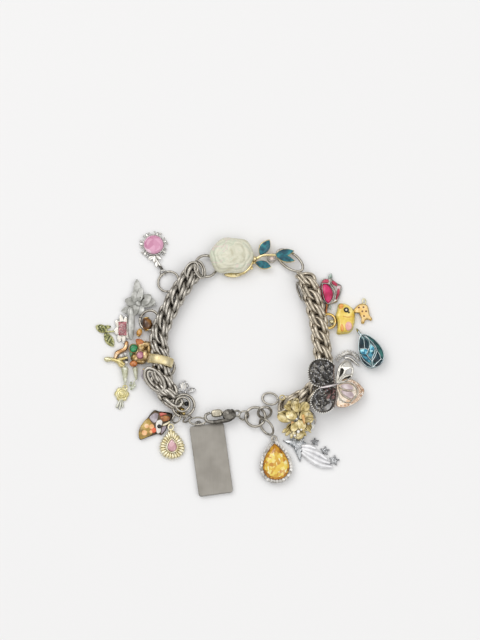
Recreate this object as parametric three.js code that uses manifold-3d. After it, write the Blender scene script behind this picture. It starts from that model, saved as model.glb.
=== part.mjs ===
// Charm bracelet lying flat, in millimetres, +Z up. A thick double-link chain runs in a ring round an
// open middle, closed by a lobster clasp, and carries rings, drops and charms round its outside.
import * as THREE from 'three';
import { mergeVertices } from 'three/addons/utils/BufferGeometryUtils.js';
import Module from 'manifold-3d';

const wasm = await Module();
wasm.setup();

// ---- driving dimensions ----
const GAP = 0.3; // air left between pieces that touch
const FLOOR = 0.15; // height at which a flat-backed charm starts, just over the surface
const LINK_ACROSS = 7.2; // outer width of a chain link
const LINK_LONG = 7.6; // outer length of a chain link, along the thread
const LINK_WIRE = 1.6; // thickness of a link's wires in its own plane
const LINK_PAIR = 2.9; // width of the two wires that lie side by side in a link
const LINK_PITCH = LINK_LONG - 2 * LINK_WIRE + 0.05; // pulled tight, each link hooked in the next
const LINK_LEAN = 45; // links lean this way and that about the thread, degrees
const THREAD_HEIGHT = 3.75; // middle of the chain over the surface
const LINK_SIDES = 8;
const RING_SIDES = 6;
const RING_STEPS = 14;
const CHAIN_MERGE = 0.12; // the chain's links are melted together, and steps under this are smoothed out
const CRUMB = 0.03; // the same for every other joined piece

// ---- finishes ----
const finish = (color, roughness, metalness) =>
  new THREE.MeshStandardMaterial({ color, roughness, metalness });
const silver = finish(0xa8a49a, 0.3, 1);
const brightSilver = finish(0xd4d4d2, 0.25, 1);
const steel = finish(0xaca69d, 0.55, 1);
const darkSilver = finish(0x3c3c3a, 0.4, 0.9);
const gold = finish(0xd7b964, 0.3, 1);
const paleGold = finish(0xdcc88c, 0.35, 1);
const motherOfPearl = finish(0xdedccd, 0.35, 0);
const pinkStone = finish(0xd496b2, 0.15, 0);
const palePink = finish(0xe0b8c4, 0.15, 0);
const citrineStone = finish(0xebaa28, 0.1, 0);
const greenStone = finish(0x1f9e5a, 0.12, 0);
const amberStone = finish(0x6b4420, 0.2, 0);
const lavenderStone = finish(0x9a8a98, 0.2, 0);
const creamStone = finish(0xe8e0c8, 0.3, 0);
const pearl = finish(0xead8cc, 0.3, 0);
const tealEnamel = finish(0x1c5a66, 0.2, 0.1);
const magentaEnamel = finish(0xcd286e, 0.2, 0.1);
const yellowEnamel = finish(0xe1be46, 0.2, 0.1);
const mixedEnamel = finish(0xa4522e, 0.25, 0.1);
const greenPave = finish(0x8f9a4a, 0.35, 0.6);
const whiteEnamel = finish(0xe8e4dc, 0.25, 0.2);

// ---- solids ----
const radians = THREE.MathUtils.degToRad;
const degrees = THREE.MathUtils.radToDeg;
const at = (x, y, z) => new THREE.Vector3(x, y, z);

function solidOf(geometry) {
  const loose = geometry.index ? geometry.toNonIndexed() : geometry;
  const bare = new THREE.BufferGeometry().setAttribute('position', loose.getAttribute('position'));
  const merged = mergeVertices(bare, 1e-4);
  return new wasm.Manifold(new wasm.Mesh({
    numProp: 3,
    vertProperties: merged.attributes.position.array,
    triVerts: merged.index.array,
  }));
}

function geometryOf(solid) {
  const mesh = solid.getMesh();
  const geometry = new THREE.BufferGeometry();
  geometry.setAttribute('position', new THREE.BufferAttribute(mesh.vertProperties, 3));
  geometry.setIndex(new THREE.BufferAttribute(mesh.triVerts, 1));
  return geometry;
}

// The largest body of a solid: a cut can leave crumbs, which the piece is made without.
function mainBody(solid) {
  const bodies = solid.decompose();
  return bodies.reduce((best, body) => (body.volume() > best.volume() ? body : best));
}

function join(geometries, cutters = [], smallest = CRUMB) {
  let solid = geometries.map(solidOf).reduce((sum, next) => sum.add(next));
  for (const cutter of cutters) solid = solid.subtract(solidOf(cutter));
  return geometryOf(mainBody(solid).simplify(smallest));
}

function place(geometry, x, y, z, turn = 0, lean = 0, tip = 0) {
  return geometry
    .rotateX(radians(lean))
    .rotateY(radians(tip))
    .rotateZ(radians(turn))
    .translate(x, y, z);
}

// ---- outlines: lists of [x, y], anticlockwise ----
function around(count, pointAt) {
  return Array.from({ length: count }, (_, i) => pointAt((2 * Math.PI * i) / count));
}

const oval = (across, tall, count = 16) =>
  around(count, (a) => [(across / 2) * Math.cos(a), (tall / 2) * Math.sin(a)]);

// A pear with its point up, `across` wide at its belly and centred on its own height.
function pear(across, tall, count = 20) {
  const widest = 0.77; // largest value of sin(a) * sin(a / 2)
  return around(count, (a) => {
    const side = Math.sin(a) * Math.abs(Math.sin(a / 2));
    return [(-across / 2) * (side / widest), (tall / 2) * Math.cos(a)];
  });
}

// A pointed leaf from its base at the origin to its tip on +X.
function leaf(long, across, count = 12) {
  return around(count, (a) => {
    const along = (1 - Math.cos(a)) / 2;
    return [long * along, (-across / 2) * Math.sin(a) * (1.25 - 0.5 * along)];
  });
}

function star(points, outer, inner) {
  return around(points * 2, (a) => {
    const isTip = Math.round((a * points) / Math.PI) % 2 === 0;
    const reach = isTip ? outer : inner;
    return [reach * Math.cos(a), reach * Math.sin(a)];
  });
}

function roundedPanel(width, length, corner) {
  const quarters = [[1, 1, 0], [-1, 1, 90], [-1, -1, 180], [1, -1, 270]];
  return quarters.flatMap(([sx, sy, start]) => [0, 30, 60, 90].map((step) => {
    const a = radians(start + step);
    return [
      sx * (width / 2 - corner) + corner * Math.cos(a),
      sy * (length / 2 - corner) + corner * Math.sin(a),
    ];
  }));
}

// A smooth closed outline through a few points.
function smooth(points, count) {
  const curve = new THREE.CatmullRomCurve3(points.map(([x, y]) => at(x, y, 0)), true, 'centripetal');
  return curve.getSpacedPoints(count).slice(0, count).map((p) => [p.x, p.y]);
}

// ---- forms ----
// A closed solid through stacked outlines: rows of [height, scale] of one outline.
function mound(outline, rows) {
  const count = outline.length;
  const points = rows.flatMap(([z, scale]) => outline.map(([x, y]) => [x * scale, y * scale, z]));
  const faces = [];
  for (let row = 0; row < rows.length - 1; row++) {
    for (let i = 0; i < count; i++) {
      const next = (i + 1) % count;
      const [a, b] = [row * count + i, row * count + next];
      faces.push(a, b, b + count, a, b + count, a + count);
    }
  }
  const flat = outline.map(([x, y]) => new THREE.Vector2(x, y));
  const top = (rows.length - 1) * count;
  for (const [a, b, c] of THREE.ShapeUtils.triangulateShape(flat, [])) {
    faces.push(c, b, a, top + a, top + b, top + c);
  }
  const geometry = new THREE.BufferGeometry();
  geometry.setAttribute('position', new THREE.Float32BufferAttribute(points.flat(), 3));
  geometry.setIndex(faces);
  return geometry;
}

const slab = (outline, low, high) => mound(outline, [[low, 1], [high, 1]]);

// A cushion with a flat back: fullest a third of the way up, closing to a flat crown.
const cushion = (outline, low, high, crown = 0.5) => mound(outline, [
  [low, 0.92],
  [low + 0.35 * (high - low), 1],
  [high, crown],
]);

function ball(radius) {
  return new THREE.IcosahedronGeometry(radius, 1);
}

function rod(points, wire, steps = 2 * (points.length - 1)) {
  const path = new THREE.CatmullRomCurve3(points.map((p) => at(...p)));
  const section = new THREE.Shape(oval(wire, wire, 6).map(([x, y]) => new THREE.Vector2(x, y)));
  return new THREE.ExtrudeGeometry(section, { extrudePath: path, steps, bevelEnabled: false });
}

// An oval ring of round wire in the XY plane; its long half lies along X.
function wireRing(long, wide, wire, steps = RING_STEPS) {
  const geometry = new THREE.TorusGeometry(long, wire / 2, RING_SIDES, steps);
  const spots = geometry.attributes.position;
  for (let i = 0; i < spots.count; i++) {
    const a = Math.atan2(spots.getY(i), spots.getX(i));
    spots.setY(i, spots.getY(i) + (wide - long) * Math.sin(a));
  }
  return geometry;
}

// ---- the bracelet ----
const bracelet = new THREE.Group();

function add(name, geometry, material) {
  const shown = geometry.index ? geometry.toNonIndexed() : geometry;
  shown.computeVertexNormals();
  const mesh = new THREE.Mesh(shown, material);
  mesh.name = name;
  bracelet.add(mesh);
}

// ---- jump rings and links ----
// long, wide: half sizes to the middle of the wire. Each ring rises by `rise` degrees towards `to`.
const rings = [
  { name: 'rose_ring', x: -14.6, y: 42.7, z: 2.5, long: 4.9, wide: 4.9, wire: 1.1, to: 180, rise: 14 },
  { name: 'sun_ring', x: -30.9, y: 35.9, z: 2.1, long: 4.7, wide: 4.7, wire: 0.9, to: -30, rise: 18 },
  { name: 'oval_link', x: 22.0, y: 45.2, z: 2.3, long: 7.0, wide: 3.4, wire: 1.1, to: -40, rise: 11 },
  { name: 'stem_ring', x: 14.1, y: 46.4, z: 1.9, long: 2.0, wide: 1.9, wire: 0.6, to: 60, rise: 20 },
  { name: 'side_ring', x: 26.2, y: 31.1, z: 4.6, long: 4.1, wide: 4.1, wire: 0.9, to: 19, rise: 84 },
  { name: 'frog_ring', x: 38.7, y: 18.4, z: 2.2, long: 3.2, wide: 3.2, wire: 1.2, to: 180, rise: 20 },
  { name: 'band_ring', x: -31.6, y: -2.2, z: 4.3, long: 3.8, wide: 4.2, wire: 1.1, to: 180, rise: 25 },
  { name: 'orchid_ring', x: -39.1, y: 18.6, z: 3.0, long: 4.5, wide: 4.5, wire: 1.1, to: 0, rise: 22 },
  { name: 'cluster_ring', x: -24.3, y: -19.0, z: 3.2, long: 4.9, wide: 4.9, wire: 1.1, to: 130, rise: 18 },
  { name: 'inner_ring', x: -24.6, y: -18.8, z: 5.0, long: 3.2, wide: 3.2, wire: 0.9, to: 130, rise: 20 },
  { name: 'pear_ring', x: -27.2, y: -24.4, z: 2.4, long: 2.1, wide: 2.5, wire: 0.8, to: -30, rise: 40 },
  { name: 'swivel_ring', x: -22.6, y: -24.9, z: 3.0, long: 2.3, wide: 2.1, wire: 0.8, to: 125, rise: 75 },
  { name: 'clasp_link', x: -18.1, y: -25.8, z: 3.0, long: 3.6, wide: 1.6, wire: 0.8, to: 0, rise: 4 },
  { name: 'clasp_ring', x: 1.9, y: -23.3, z: 2.5, long: 2.4, wide: 2.1, wire: 0.85, to: 100, rise: 50 },
  { name: 'end_ring', x: 6.9, y: -23.9, z: 2.4, long: 4.3, wide: 4.4, wire: 1.1, to: 0, rise: 4 },
  { name: 'chain_end_ring', x: 10.9, y: -22.1, z: 3.2, long: 2.9, wide: 3.0, wire: 1.1, to: 100, rise: 44 },
  { name: 'citrine_ring', x: 11.7, y: -28.4, z: 3.2, long: 3.2, wide: 4.1, wire: 0.95, to: 40, rise: 54 },
  { name: 'loose_ring', x: 13.3, y: -15.8, z: 1.7, long: 3.6, wide: 2.6, wire: 0.95, to: -20, rise: 18 },
  { name: 'hoop', x: 28.2, y: -25.2, z: 1.8, long: 4.5, wide: 4.8, wire: 0.6, to: 90, rise: 16 },
];

function ringGeometry(row, extra = 0) {
  const ring = wireRing(row.long, row.wide, row.wire + extra);
  return place(ring, row.x, row.y, row.z, row.to, 0, -row.rise);
}

const ringNamed = (name) => rings.find((row) => row.name === name);
const clearOf = (...names) => names.map((name) => ringGeometry(ringNamed(name), 2 * GAP));

const goldRings = ['frog_ring'];
for (const row of rings) {
  add(row.name, ringGeometry(row), goldRings.includes(row.name) ? gold : silver);
}

// ---- chain ----
// The thread of each half, from its top end down; links lean to one side and the other in turn.
const leftThread = [
  [-17.6, 43.0], [-22.8, 35.9], [-28.5, 27.0], [-33.3, 16.8], [-35.0, 10.6], [-34.6, 5.4],
  [-33.6, 0.3], [-33.3, -4.9], [-32.0, -10.2], [-28.6, -15.9],
];
const rightThread = [
  [26.2, 41.0], [28.9, 37.0], [30.9, 31.9], [32.4, 25.7], [34.1, 18.6], [35.0, 11.5], [35.9, 5.3],
  [36.5, 0.4], [35.7, -5.9], [32.8, -11.5], [27.6, -15.9], [21.6, -18.6], [15.6, -21.3],
];

function chainLink() {
  const outer = LINK_ACROSS / 2;
  const inner = outer - LINK_WIRE;
  const half = LINK_PAIR / 2;
  const section = [[outer, -half], [outer, half], [inner, half], [inner, -half], [outer, -half]];
  const corners = section.map(([x, y]) => new THREE.Vector2(x, y));
  const round = new THREE.LatheGeometry(corners, LINK_SIDES).rotateX(radians(90));
  const spots = round.attributes.position;
  for (let i = 0; i < spots.count; i++) {
    const a = Math.atan2(spots.getY(i), spots.getX(i));
    spots.setX(i, spots.getX(i) + ((LINK_LONG - LINK_ACROSS) / 2) * Math.cos(a));
  }
  return round;
}

function chain(thread, cutters) {
  const path = new THREE.CatmullRomCurve3(thread.map(([x, y]) => at(x, y, THREAD_HEIGHT)));
  const count = Math.round((path.getLength() - LINK_LONG) / LINK_PITCH) + 1;
  const pitch = (path.getLength() - LINK_LONG) / (count - 1);
  const links = Array.from({ length: count }, (_, i) => {
    const along = (LINK_LONG / 2 + i * pitch) / path.getLength();
    const spot = path.getPointAt(along);
    const heading = path.getTangentAt(along);
    const turn = degrees(Math.atan2(heading.y, heading.x));
    return place(chainLink(), spot.x, spot.y, spot.z, turn, i % 2 ? LINK_LEAN : -LINK_LEAN);
  });
  return join(links, cutters, CHAIN_MERGE);
}

const leftRings = ['rose_ring', 'sun_ring', 'orchid_ring', 'band_ring', 'cluster_ring', 'inner_ring'];
const rightRings = ['oval_link', 'side_ring', 'frog_ring', 'chain_end_ring', 'end_ring', 'loose_ring'];
add('left_chain', chain(leftThread, clearOf(...leftRings)), silver);
add('right_chain', chain(rightThread, clearOf(...rightRings, 'citrine_ring', 'hoop')), silver);

// ---- lobster clasp ----
// Drawn along X from the hook's tip to the eye, then laid at its angle beside the tag's top edge.
const CLASP = { x: -15.2, y: -27.4, z: 3.9, turn: 8, thick: 2.6, slot: 1.8, pin: 0.55, hook: 1.5 };
const LEVER = { x: 10.6, y: 3.5, root: 1.25, arm: 1.3, thick: 1.2 };

function layClasp(geometry) {
  return place(geometry, CLASP.x, CLASP.y, CLASP.z, CLASP.turn);
}

// A cutter is drawn in the bracelet's frame, so it is carried back into the clasp's own.
function unlayClasp(geometry) {
  return geometry.translate(-CLASP.x, -CLASP.y, -CLASP.z).rotateZ(radians(-CLASP.turn));
}

const crossPin = (radius, long, sides) =>
  place(new THREE.CylinderGeometry(radius, radius, long, sides), LEVER.x, LEVER.y, 0, 0, 90);

function claspBody() {
  const half = CLASP.thick / 2;
  const line = [[11.0, 0.6], [8.0, 0.35], [4.5, 0.4], [2.0, 0.9], [0.9, 2.3], [1.2, 3.9], [2.6, 4.5]];
  const hook = rod(line.map(([x, y]) => [x, y, 0]), CLASP.hook, 14);
  const cheeks = mound(oval(5.4, 5.0, 14), [[-half, 0.85], [-half + 0.6, 1], [half - 0.6, 1], [half, 0.85]]);
  const block = place(cheeks, 10.9, 2.6, 0);
  const eye = place(wireRing(1.35, 1.35, 1.0, 12), 14.4, 2.8, 0);
  const slot = place(new THREE.BoxGeometry(6.4, 4.6, CLASP.slot), LEVER.x - 1.5, LEVER.y + 0.1, 0);
  const open = join([hook, block, eye], [slot, ...clearOf('clasp_link', 'clasp_ring').map(unlayClasp)]);
  return layClasp(join([open, crossPin(CLASP.pin, CLASP.thick - 0.4, 8)]));
}

function claspLever() {
  const half = LEVER.thick / 2;
  const root = place(slab(oval(2 * LEVER.root, 2 * LEVER.root, 12), -half, half), LEVER.x, LEVER.y, 0);
  const arm = place(slab(roundedPanel(7.4, LEVER.arm, 0.3), -half, half), 6.9, 4.1, 0, -2);
  const plate = place(slab(roundedPanel(3.8, 2.8, 0.4), -half, 1.3), 5.9, 4.0, 0, -2);
  return layClasp(join([root, arm, plate], [crossPin(CLASP.pin + GAP, 2 * CLASP.thick, 10)]));
}

add('clasp_body', claspBody(), silver);
add('clasp_lever', claspLever(), steel);

// ---- steel tag: a plain plate with a small loop at its top edge ----
const TAG = { x: -12.2, y: -42.4, turn: 7.9, width: 14.9, length: 30.8, thick: 2.0, corner: 1.3, edge: 0.2 };

function steelTag() {
  const face = roundedPanel(TAG.width, TAG.length, TAG.corner);
  const plate = mound(face, [[0, 0.985], [TAG.edge, 1], [TAG.thick - TAG.edge, 1], [TAG.thick, 0.985]]);
  const loop = place(wireRing(1.1, 1.1, 0.8, 10), -3.4, TAG.length / 2 + 0.7, 1.2);
  const laid = place(join([plate, loop]), TAG.x, TAG.y, 0, TAG.turn);
  return join([laid], clearOf('clasp_link'));
}

add('steel_tag', steelTag(), steel);

// ---- rose: carved bloom over a gold cup, with sepals, a stem and three leaves ----
const BLOOM = { x: -3.5, y: 47.8, low: 3.0, high: 8.0 };
const CUP = { x: -2.6, y: 45.4, across: 13.0, tall: 11.6, high: 2.7 };
const SEPAL = { x: 1.8, y: 46.2, long: 6.4, across: 2.8, low: 1.6, high: 2.6, turns: [-48, -20, 6] };
const ROSE_STEM_WIRE = 1.2;
const LEAF_THICK = 1.2;
const roseLeaves = [
  { x: 8.9, y: 47.6, low: 2.6, turn: 55, long: 7.6, across: 4.1 },
  { x: 7.0, y: 44.2, low: 2.6, turn: -17, long: 6.9, across: 3.5 },
  { x: 16.0, y: 47.3, low: 3.4, turn: -5, long: 8.3, across: 4.6 },
];

function roseBloom() {
  const edge = smooth([[-9.6, -0.3], [-6.4, -7.0], [0, -7.6], [5.4, -7.0], [9.0, -2.6], [9.6, 1.5],
    [6.8, 6.7], [1.5, 7.8], [-3.6, 7.9], [-8.0, 4.0]], 20);
  const rows = [[BLOOM.low, 0.9], [3.8, 1], [5.6, 0.93], [7.2, 0.7], [BLOOM.high, 0.35]];
  return place(mound(edge, rows), BLOOM.x, BLOOM.y, 0);
}

function roseSetting() {
  const bowl = mound(oval(CUP.across, CUP.tall, 16), [[FLOOR, 0.6], [1.0, 0.86], [CUP.high, 1]]);
  const sepals = SEPAL.turns.map((turn) =>
    place(cushion(leaf(SEPAL.long, SEPAL.across, 10), SEPAL.low, SEPAL.high), SEPAL.x, SEPAL.y, 0, turn));
  const line = [[3.0, 46.0, 2.0], [7.0, 45.9, 2.6], [10.0, 47.2, 3.4], [13.0, 47.4, 3.8], [16.8, 47.3, 3.8]];
  const leaves = roseLeaves.map(({ x, y, low, turn, long, across }) =>
    place(cushion(leaf(long, across), low, low + LEAF_THICK), x, y, 0, turn));
  return join([place(bowl, CUP.x, CUP.y, 0), ...sepals, rod(line, ROSE_STEM_WIRE), ...leaves],
    clearOf('rose_ring', 'stem_ring', 'oval_link'));
}

add('rose_bloom', roseBloom(), motherOfPearl);
add('rose_setting', roseSetting(), gold);
add('rose_pearl', place(ball(1.1), 14.1, 46.4, 1.7), pearl);

// ---- pink gem in a sunburst of ball-tipped rays, hung by a wrapped bail ----
const SUN = { x: -37.4, y: 52.3, rays: 12, first: 8, rim: 4.7, reach: 6.1, knob: 0.55, seat: 1.3 };
const SUN_STONE = { across: 7.8, high: 4.1 };

function sunSetting() {
  const disc = mound(oval(2 * SUN.rim, 2 * SUN.rim, 20), [[FLOOR, 0.95], [0.8, 1.06], [SUN.seat, 1]]);
  const rays = Array.from({ length: SUN.rays }, (_, i) => {
    const turn = (360 * i) / SUN.rays + SUN.first;
    const ray = slab([[3.8, -0.3], [SUN.reach, -0.2], [SUN.reach, 0.2], [3.8, 0.3]], 0.4, 1.0);
    const knob = place(new THREE.OctahedronGeometry(SUN.knob, 0), SUN.reach, 0, 0.75);
    return [place(ray, 0, 0, 0, turn), place(knob, 0, 0, 0, turn)];
  }).flat();
  const bail = rod([[0.4, -4.6, 0.9], [1.4, -6.8, 1.0], [2.8, -9.0, 1.3], [3.7, -11.2, 1.6]], 1.2);
  const eye = place(wireRing(1.3, 1.3, 0.8, 10), 4.15, -12.3, 1.7, 30, 60);
  return join([disc, ...rays, bail, eye].map((part) => place(part, SUN.x, SUN.y, 0)), clearOf('sun_ring'));
}

add('sun_setting', sunSetting(), brightSilver);
const sunStone = cushion(oval(SUN_STONE.across, SUN_STONE.across, 18), SUN.seat + GAP, SUN_STONE.high);
add('sun_stone', place(sunStone, SUN.x, SUN.y, 0), pinkStone);

// ---- silver orchid: frosted petals round a short stem, and its two amber beads ----
const orchidPetals = [
  { x: -44.6, y: 27.0, turn: 93, long: 11.0, across: 4.6 },
  { x: -44.0, y: 26.4, turn: 12, long: 8.4, across: 7.4 },
  { x: -44.6, y: 27.2, turn: 205, long: 7.6, across: 4.6 },
  { x: -44.6, y: 25.6, turn: 250, long: 8.2, across: 4.4 },
  { x: -43.4, y: 25.8, turn: 290, long: 5.0, across: 4.2 },
];
const amberBeads = [
  { name: 'amber_bead_1', x: -40.1, y: 18.4, z: 2.1, turn: 10, radius: 2.0 },
  { name: 'amber_bead_2', x: -43.5, y: 13.4, z: 1.5, turn: -20, radius: 1.3 },
];

function orchid() {
  const petals = orchidPetals.map(({ x, y, turn, long, across }) =>
    place(cushion(leaf(long, across), 0.5, 2.2), x, y, 0, turn));
  const throat = place(cushion(oval(4.4, 4.4, 12), FLOOR, 3.0), -44.2, 26.2, 0);
  const stem = rod([[-45.0, 20.5, 1.4], [-46.6, 16.4, 1.3], [-47.0, 12.0, 1.2]], 1.7);
  return join([...petals, throat, stem], clearOf('orchid_ring'));
}

add('orchid', orchid(), brightSilver);
for (const { name, x, y, z, turn, radius } of amberBeads) {
  add(name, place(ball(radius).scale(1, 1.33, 0.9), x, y, z, turn), amberStone);
}

// ---- daisy ----
const DAISY = { x: -50.8, y: 15.1, petals: 8, first: 12, long: 4.2, across: 2.5, wide: 0.82, tall: 1.32 };

function daisy() {
  const petals = Array.from({ length: DAISY.petals }, (_, i) => {
    const petal = cushion(leaf(DAISY.long, DAISY.across, 8), 0.4, 1.6);
    const turn = (360 * i) / DAISY.petals + DAISY.first;
    return place(petal, 0, 0, 0, turn).scale(DAISY.wide, DAISY.tall, 1);
  });
  const heart = cushion(oval(3.4, 5.4, 12), FLOOR, 2.5);
  return place(join([...petals, heart]), DAISY.x, DAISY.y, 0);
}

add('daisy', daisy(), whiteEnamel);

// ---- leaf spray: three paved leaves on one stalk ----
const sprayLeaves = [
  { x: -57.6, y: 13.8, turn: 148, long: 5.8, across: 3.6 },
  { x: -58.6, y: 14.4, turn: 48, long: 3.6, across: 2.2 },
  { x: -59.2, y: 13.6, turn: -55, long: 7.2, across: 3.9 },
];

function leafSpray() {
  const leaves = sprayLeaves.map(({ x, y, turn, long, across }) =>
    place(cushion(leaf(long, across), FLOOR, 1.5), x, y, 0, turn));
  const stalk = rod([[-58.4, 13.9, 0.8], [-56.6, 13.9, 1.0], [-54.8, 14.3, 1.1]], 0.9);
  return join([...leaves, stalk]);
}

add('leaf_spray', leafSpray(), greenPave);

// ---- gold twig: a thick bar with a round head, and a branch to each side ----
function goldTwig() {
  const bar = rod([[-58.2, 1.7, 1.1], [-55.0, 1.7, 1.1], [-51.0, 2.2, 1.3], [-48.4, 2.6, 1.5]], 1.9);
  const upper = rod([[-54.4, 2.0, 1.1], [-52.0, 5.0, 1.3], [-49.4, 6.6, 1.4], [-48.2, 9.6, 1.3]], 1.6);
  const lower = rod([[-52.6, 1.6, 1.1], [-51.4, -0.4, 1.1], [-49.4, -1.2, 1.1]], 1.9);
  const head = place(ball(1.5), -49.0, 2.5, 1.7);
  return join([bar, upper, lower, head]);
}

add('gold_twig', goldTwig(), paleGold);

// ---- gem cluster: a gold filigree body with two set stones ----
const CLUSTER = { x: -43.6, y: 5.6, high: 2.6, rim: 0.6, seat: 2.1, stoneTop: 3.9 };
const clusterBosses = [
  { x: -43.6, y: 9.4, radius: 1.9 },
  { x: -45.3, y: 0.7, radius: 1.6 },
  { x: -41.4, y: 6.6, radius: 1.7 },
];
const gemSeats = [
  { name: 'green_gem', x: -45.9, y: 6.2, across: 3.5, material: greenStone },
  { name: 'pink_gem', x: -43.0, y: 3.2, across: 3.3, material: palePink },
];

function gemSetting() {
  const edge = smooth([[-3.4, -1.2], [-1.8, -4.6], [2.0, -5.6], [3.6, -2.0], [3.2, 3.4], [1.2, 5.6],
    [-1.2, 4.2], [-3.6, 2.4]], 16);
  const body = place(cushion(edge, FLOOR, CLUSTER.high), CLUSTER.x, CLUSTER.y, 0);
  const bosses = clusterBosses.map(({ x, y, radius }) => place(ball(radius), x, y, 2.0));
  const rounds = (extra, low, high) => gemSeats.map(({ x, y, across }) =>
    place(slab(oval(across + extra, across + extra, 12), low, high), x, y, 0));
  const seats = rounds(2 * CLUSTER.rim, 0.6, 3.0);
  const bores = rounds(2 * GAP, CLUSTER.seat, 5);
  return join([body, ...bosses, ...seats], bores);
}

add('gem_setting', gemSetting(), gold);
for (const { name, x, y, across, material } of gemSeats) {
  const stone = cushion(oval(across, across, 12), CLUSTER.seat + GAP, CLUSTER.stoneTop);
  add(name, place(stone, x, y, 0), material);
}

// ---- pale-gold band over the chain, and the lavender bead beside it ----
const BAND = { x: -34.2, y: 0.2, turn: -12, depth: 4.2, foot: 12, steps: 8 };
const BAND_INSIDE = { half: 5.2, high: 5.2 };
const BAND_OUTSIDE = { half: 5.9, high: 5.8 };

function goldBand() {
  const arc = ({ half, high }) => Array.from({ length: BAND.steps + 1 }, (_, i) => {
    const a = radians(BAND.foot + (i * (180 - 2 * BAND.foot)) / BAND.steps);
    return new THREE.Vector2(half * Math.cos(a), THREAD_HEIGHT + high * Math.sin(a));
  });
  const profile = new THREE.Shape([...arc(BAND_OUTSIDE), ...arc(BAND_INSIDE).reverse()]);
  const band = new THREE.ExtrudeGeometry(profile, { depth: BAND.depth, bevelEnabled: false });
  const upright = band.rotateX(radians(90)).translate(0, BAND.depth / 2, 0);
  const laid = place(upright, BAND.x, BAND.y, 0, BAND.turn);
  return join([laid], clearOf('band_ring'));
}

add('gold_band', goldBand(), paleGold);
add('lavender_bead', place(ball(1.9).scale(1.0, 1.3, 0.9), -39.3, -5.2, 2.0, 10), lavenderStone);

// ---- drops below the left cluster: a fan, a crystal with a bead, and a medallion ----
const MEDALLION = { x: -51.0, y: -13.6, across: 6.2, high: 2.4 };
const medallionProngs = [
  { x: -2.0, y: -5.6 },
  { x: -0.6, y: -6.6 },
  { x: 0.6, y: -5.4 },
];

const cone = (topAcross, bottomAcross, long) =>
  new THREE.CylinderGeometry(topAcross / 2, bottomAcross / 2, long, 10);

function fanDrop() {
  return join([place(cone(3.2, 1.0, 6.6), -49.6, -5.6, 1.8), place(ball(0.7), -49.6, -8.7, 1.4)]);
}

function crystalDrop() {
  const tip = [-45.3, -8.2, 1.2];
  const bead = [-46.0, -10.6, 1.3];
  const crystal = place(cone(2.2, 0.9, 6.4), -45.0, -4.7, 1.4, -4);
  return join([crystal, place(ball(0.8), ...tip), place(ball(1.1), ...bead), rod([tip, bead], 0.7)]);
}

function medallion() {
  const face = oval(MEDALLION.across, MEDALLION.across, 18);
  const disc = mound(face, [[FLOOR, 0.95], [0.6, 1], [1.6, 0.95], [MEDALLION.high, 0.5]]);
  const loop = place(wireRing(0.9, 0.9, 0.7, 10), 1.4, 2.9, 1.1);
  const prongs = medallionProngs.map(({ x, y }) => rod([[0.3 * x, -2.4, 0.9], [x, y, 0.7]], 0.8));
  return place(join([disc, loop, ...prongs]), MEDALLION.x, MEDALLION.y, 0);
}

add('fan_drop', fanDrop(), paleGold);
add('crystal_drop', crystalDrop(), creamStone);
add('medallion', medallion(), gold);

// ---- small paved bow beside the chain ----
const BOW = { x: -24.0, y: -10.0, knot: 2.2 };
const bowLoops = [
  { turn: 100, long: 4.0, across: 2.6, high: 1.7 },
  { turn: -20, long: 4.2, across: 2.6, high: 1.7 },
  { turn: 190, long: 6.2, across: 2.8, high: 2.2 },
];

function paveBow() {
  const loops = bowLoops.map(({ turn, long, across, high }) =>
    place(cushion(leaf(long, across, 10), FLOOR, high), 0, 0, 0, turn));
  return place(join([...loops, cushion(oval(BOW.knot, BOW.knot, 10), FLOOR, 2.2)]), BOW.x, BOW.y, 0);
}

add('pave_bow', paveBow(), brightSilver);

// ---- beads inside the ring cluster ----
add('gold_bead', place(ball(1.5), -24.7, -20.7, 2.2), gold);
add('dark_bead', place(ball(1.15), -22.9, -18.2, 2.6), darkSilver);

// ---- enamel bird: a flat cast plate ----
const BIRD = { x: -36.0, y: -27.3, high: 2.1 };

function bird() {
  const edge = smooth([[7.0, 4.6], [3.0, 6.2], [0.0, 6.5], [-3.4, 3.2], [-6.2, -0.2], [-7.4, -3.4],
    [-7.0, -6.4], [-3.0, -5.4], [1.6, -4.2], [3.4, -2.2], [4.4, 1.2]], 24);
  return place(cushion(edge, FLOOR, BIRD.high, 0.86), BIRD.x, BIRD.y, 0);
}

add('bird', bird(), mixedEnamel);

// ---- gold pear drop with a scalloped edge and a pink stone ----
const PEAR = { x: -29.2, y: -35.6, turn: 4, across: 11.0, tall: 13.0, scallops: 16, dip: 0.94, high: 2.6 };
const PEAR_STONE = { across: 4.0, tall: 5.6, drop: -0.8, seat: 1.4, high: 3.2, points: 16 };

function pearFrame() {
  const scalloped = pear(PEAR.across, PEAR.tall, 2 * PEAR.scallops).map(([x, y], i) => {
    const swell = i % 2 === 0 ? PEAR.dip : 1;
    return [x * swell, y * swell];
  });
  const frame = cushion(scalloped, FLOOR, PEAR.high);
  const hole = pear(PEAR_STONE.across + 2 * GAP, PEAR_STONE.tall + 2 * GAP, PEAR_STONE.points);
  const socket = slab(hole, PEAR_STONE.seat, PEAR.high + 1);
  const bail = place(wireRing(1.4, 1.1, 0.9, 10), 0, 7.3, 1.6, 90);
  const drop = join([frame, bail], [place(socket, 0, PEAR_STONE.drop, 0)]);
  return join([place(drop, PEAR.x, PEAR.y, 0, PEAR.turn)], clearOf('pear_ring'));
}

function pearStone() {
  const { across, tall, drop, seat, high, points } = PEAR_STONE;
  const stone = place(cushion(pear(across, tall, points), seat + GAP, high), 0, drop, 0);
  return place(stone, PEAR.x, PEAR.y, 0, PEAR.turn);
}

add('pear_frame', pearFrame(), gold);
add('pear_stone', pearStone(), palePink);

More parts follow.
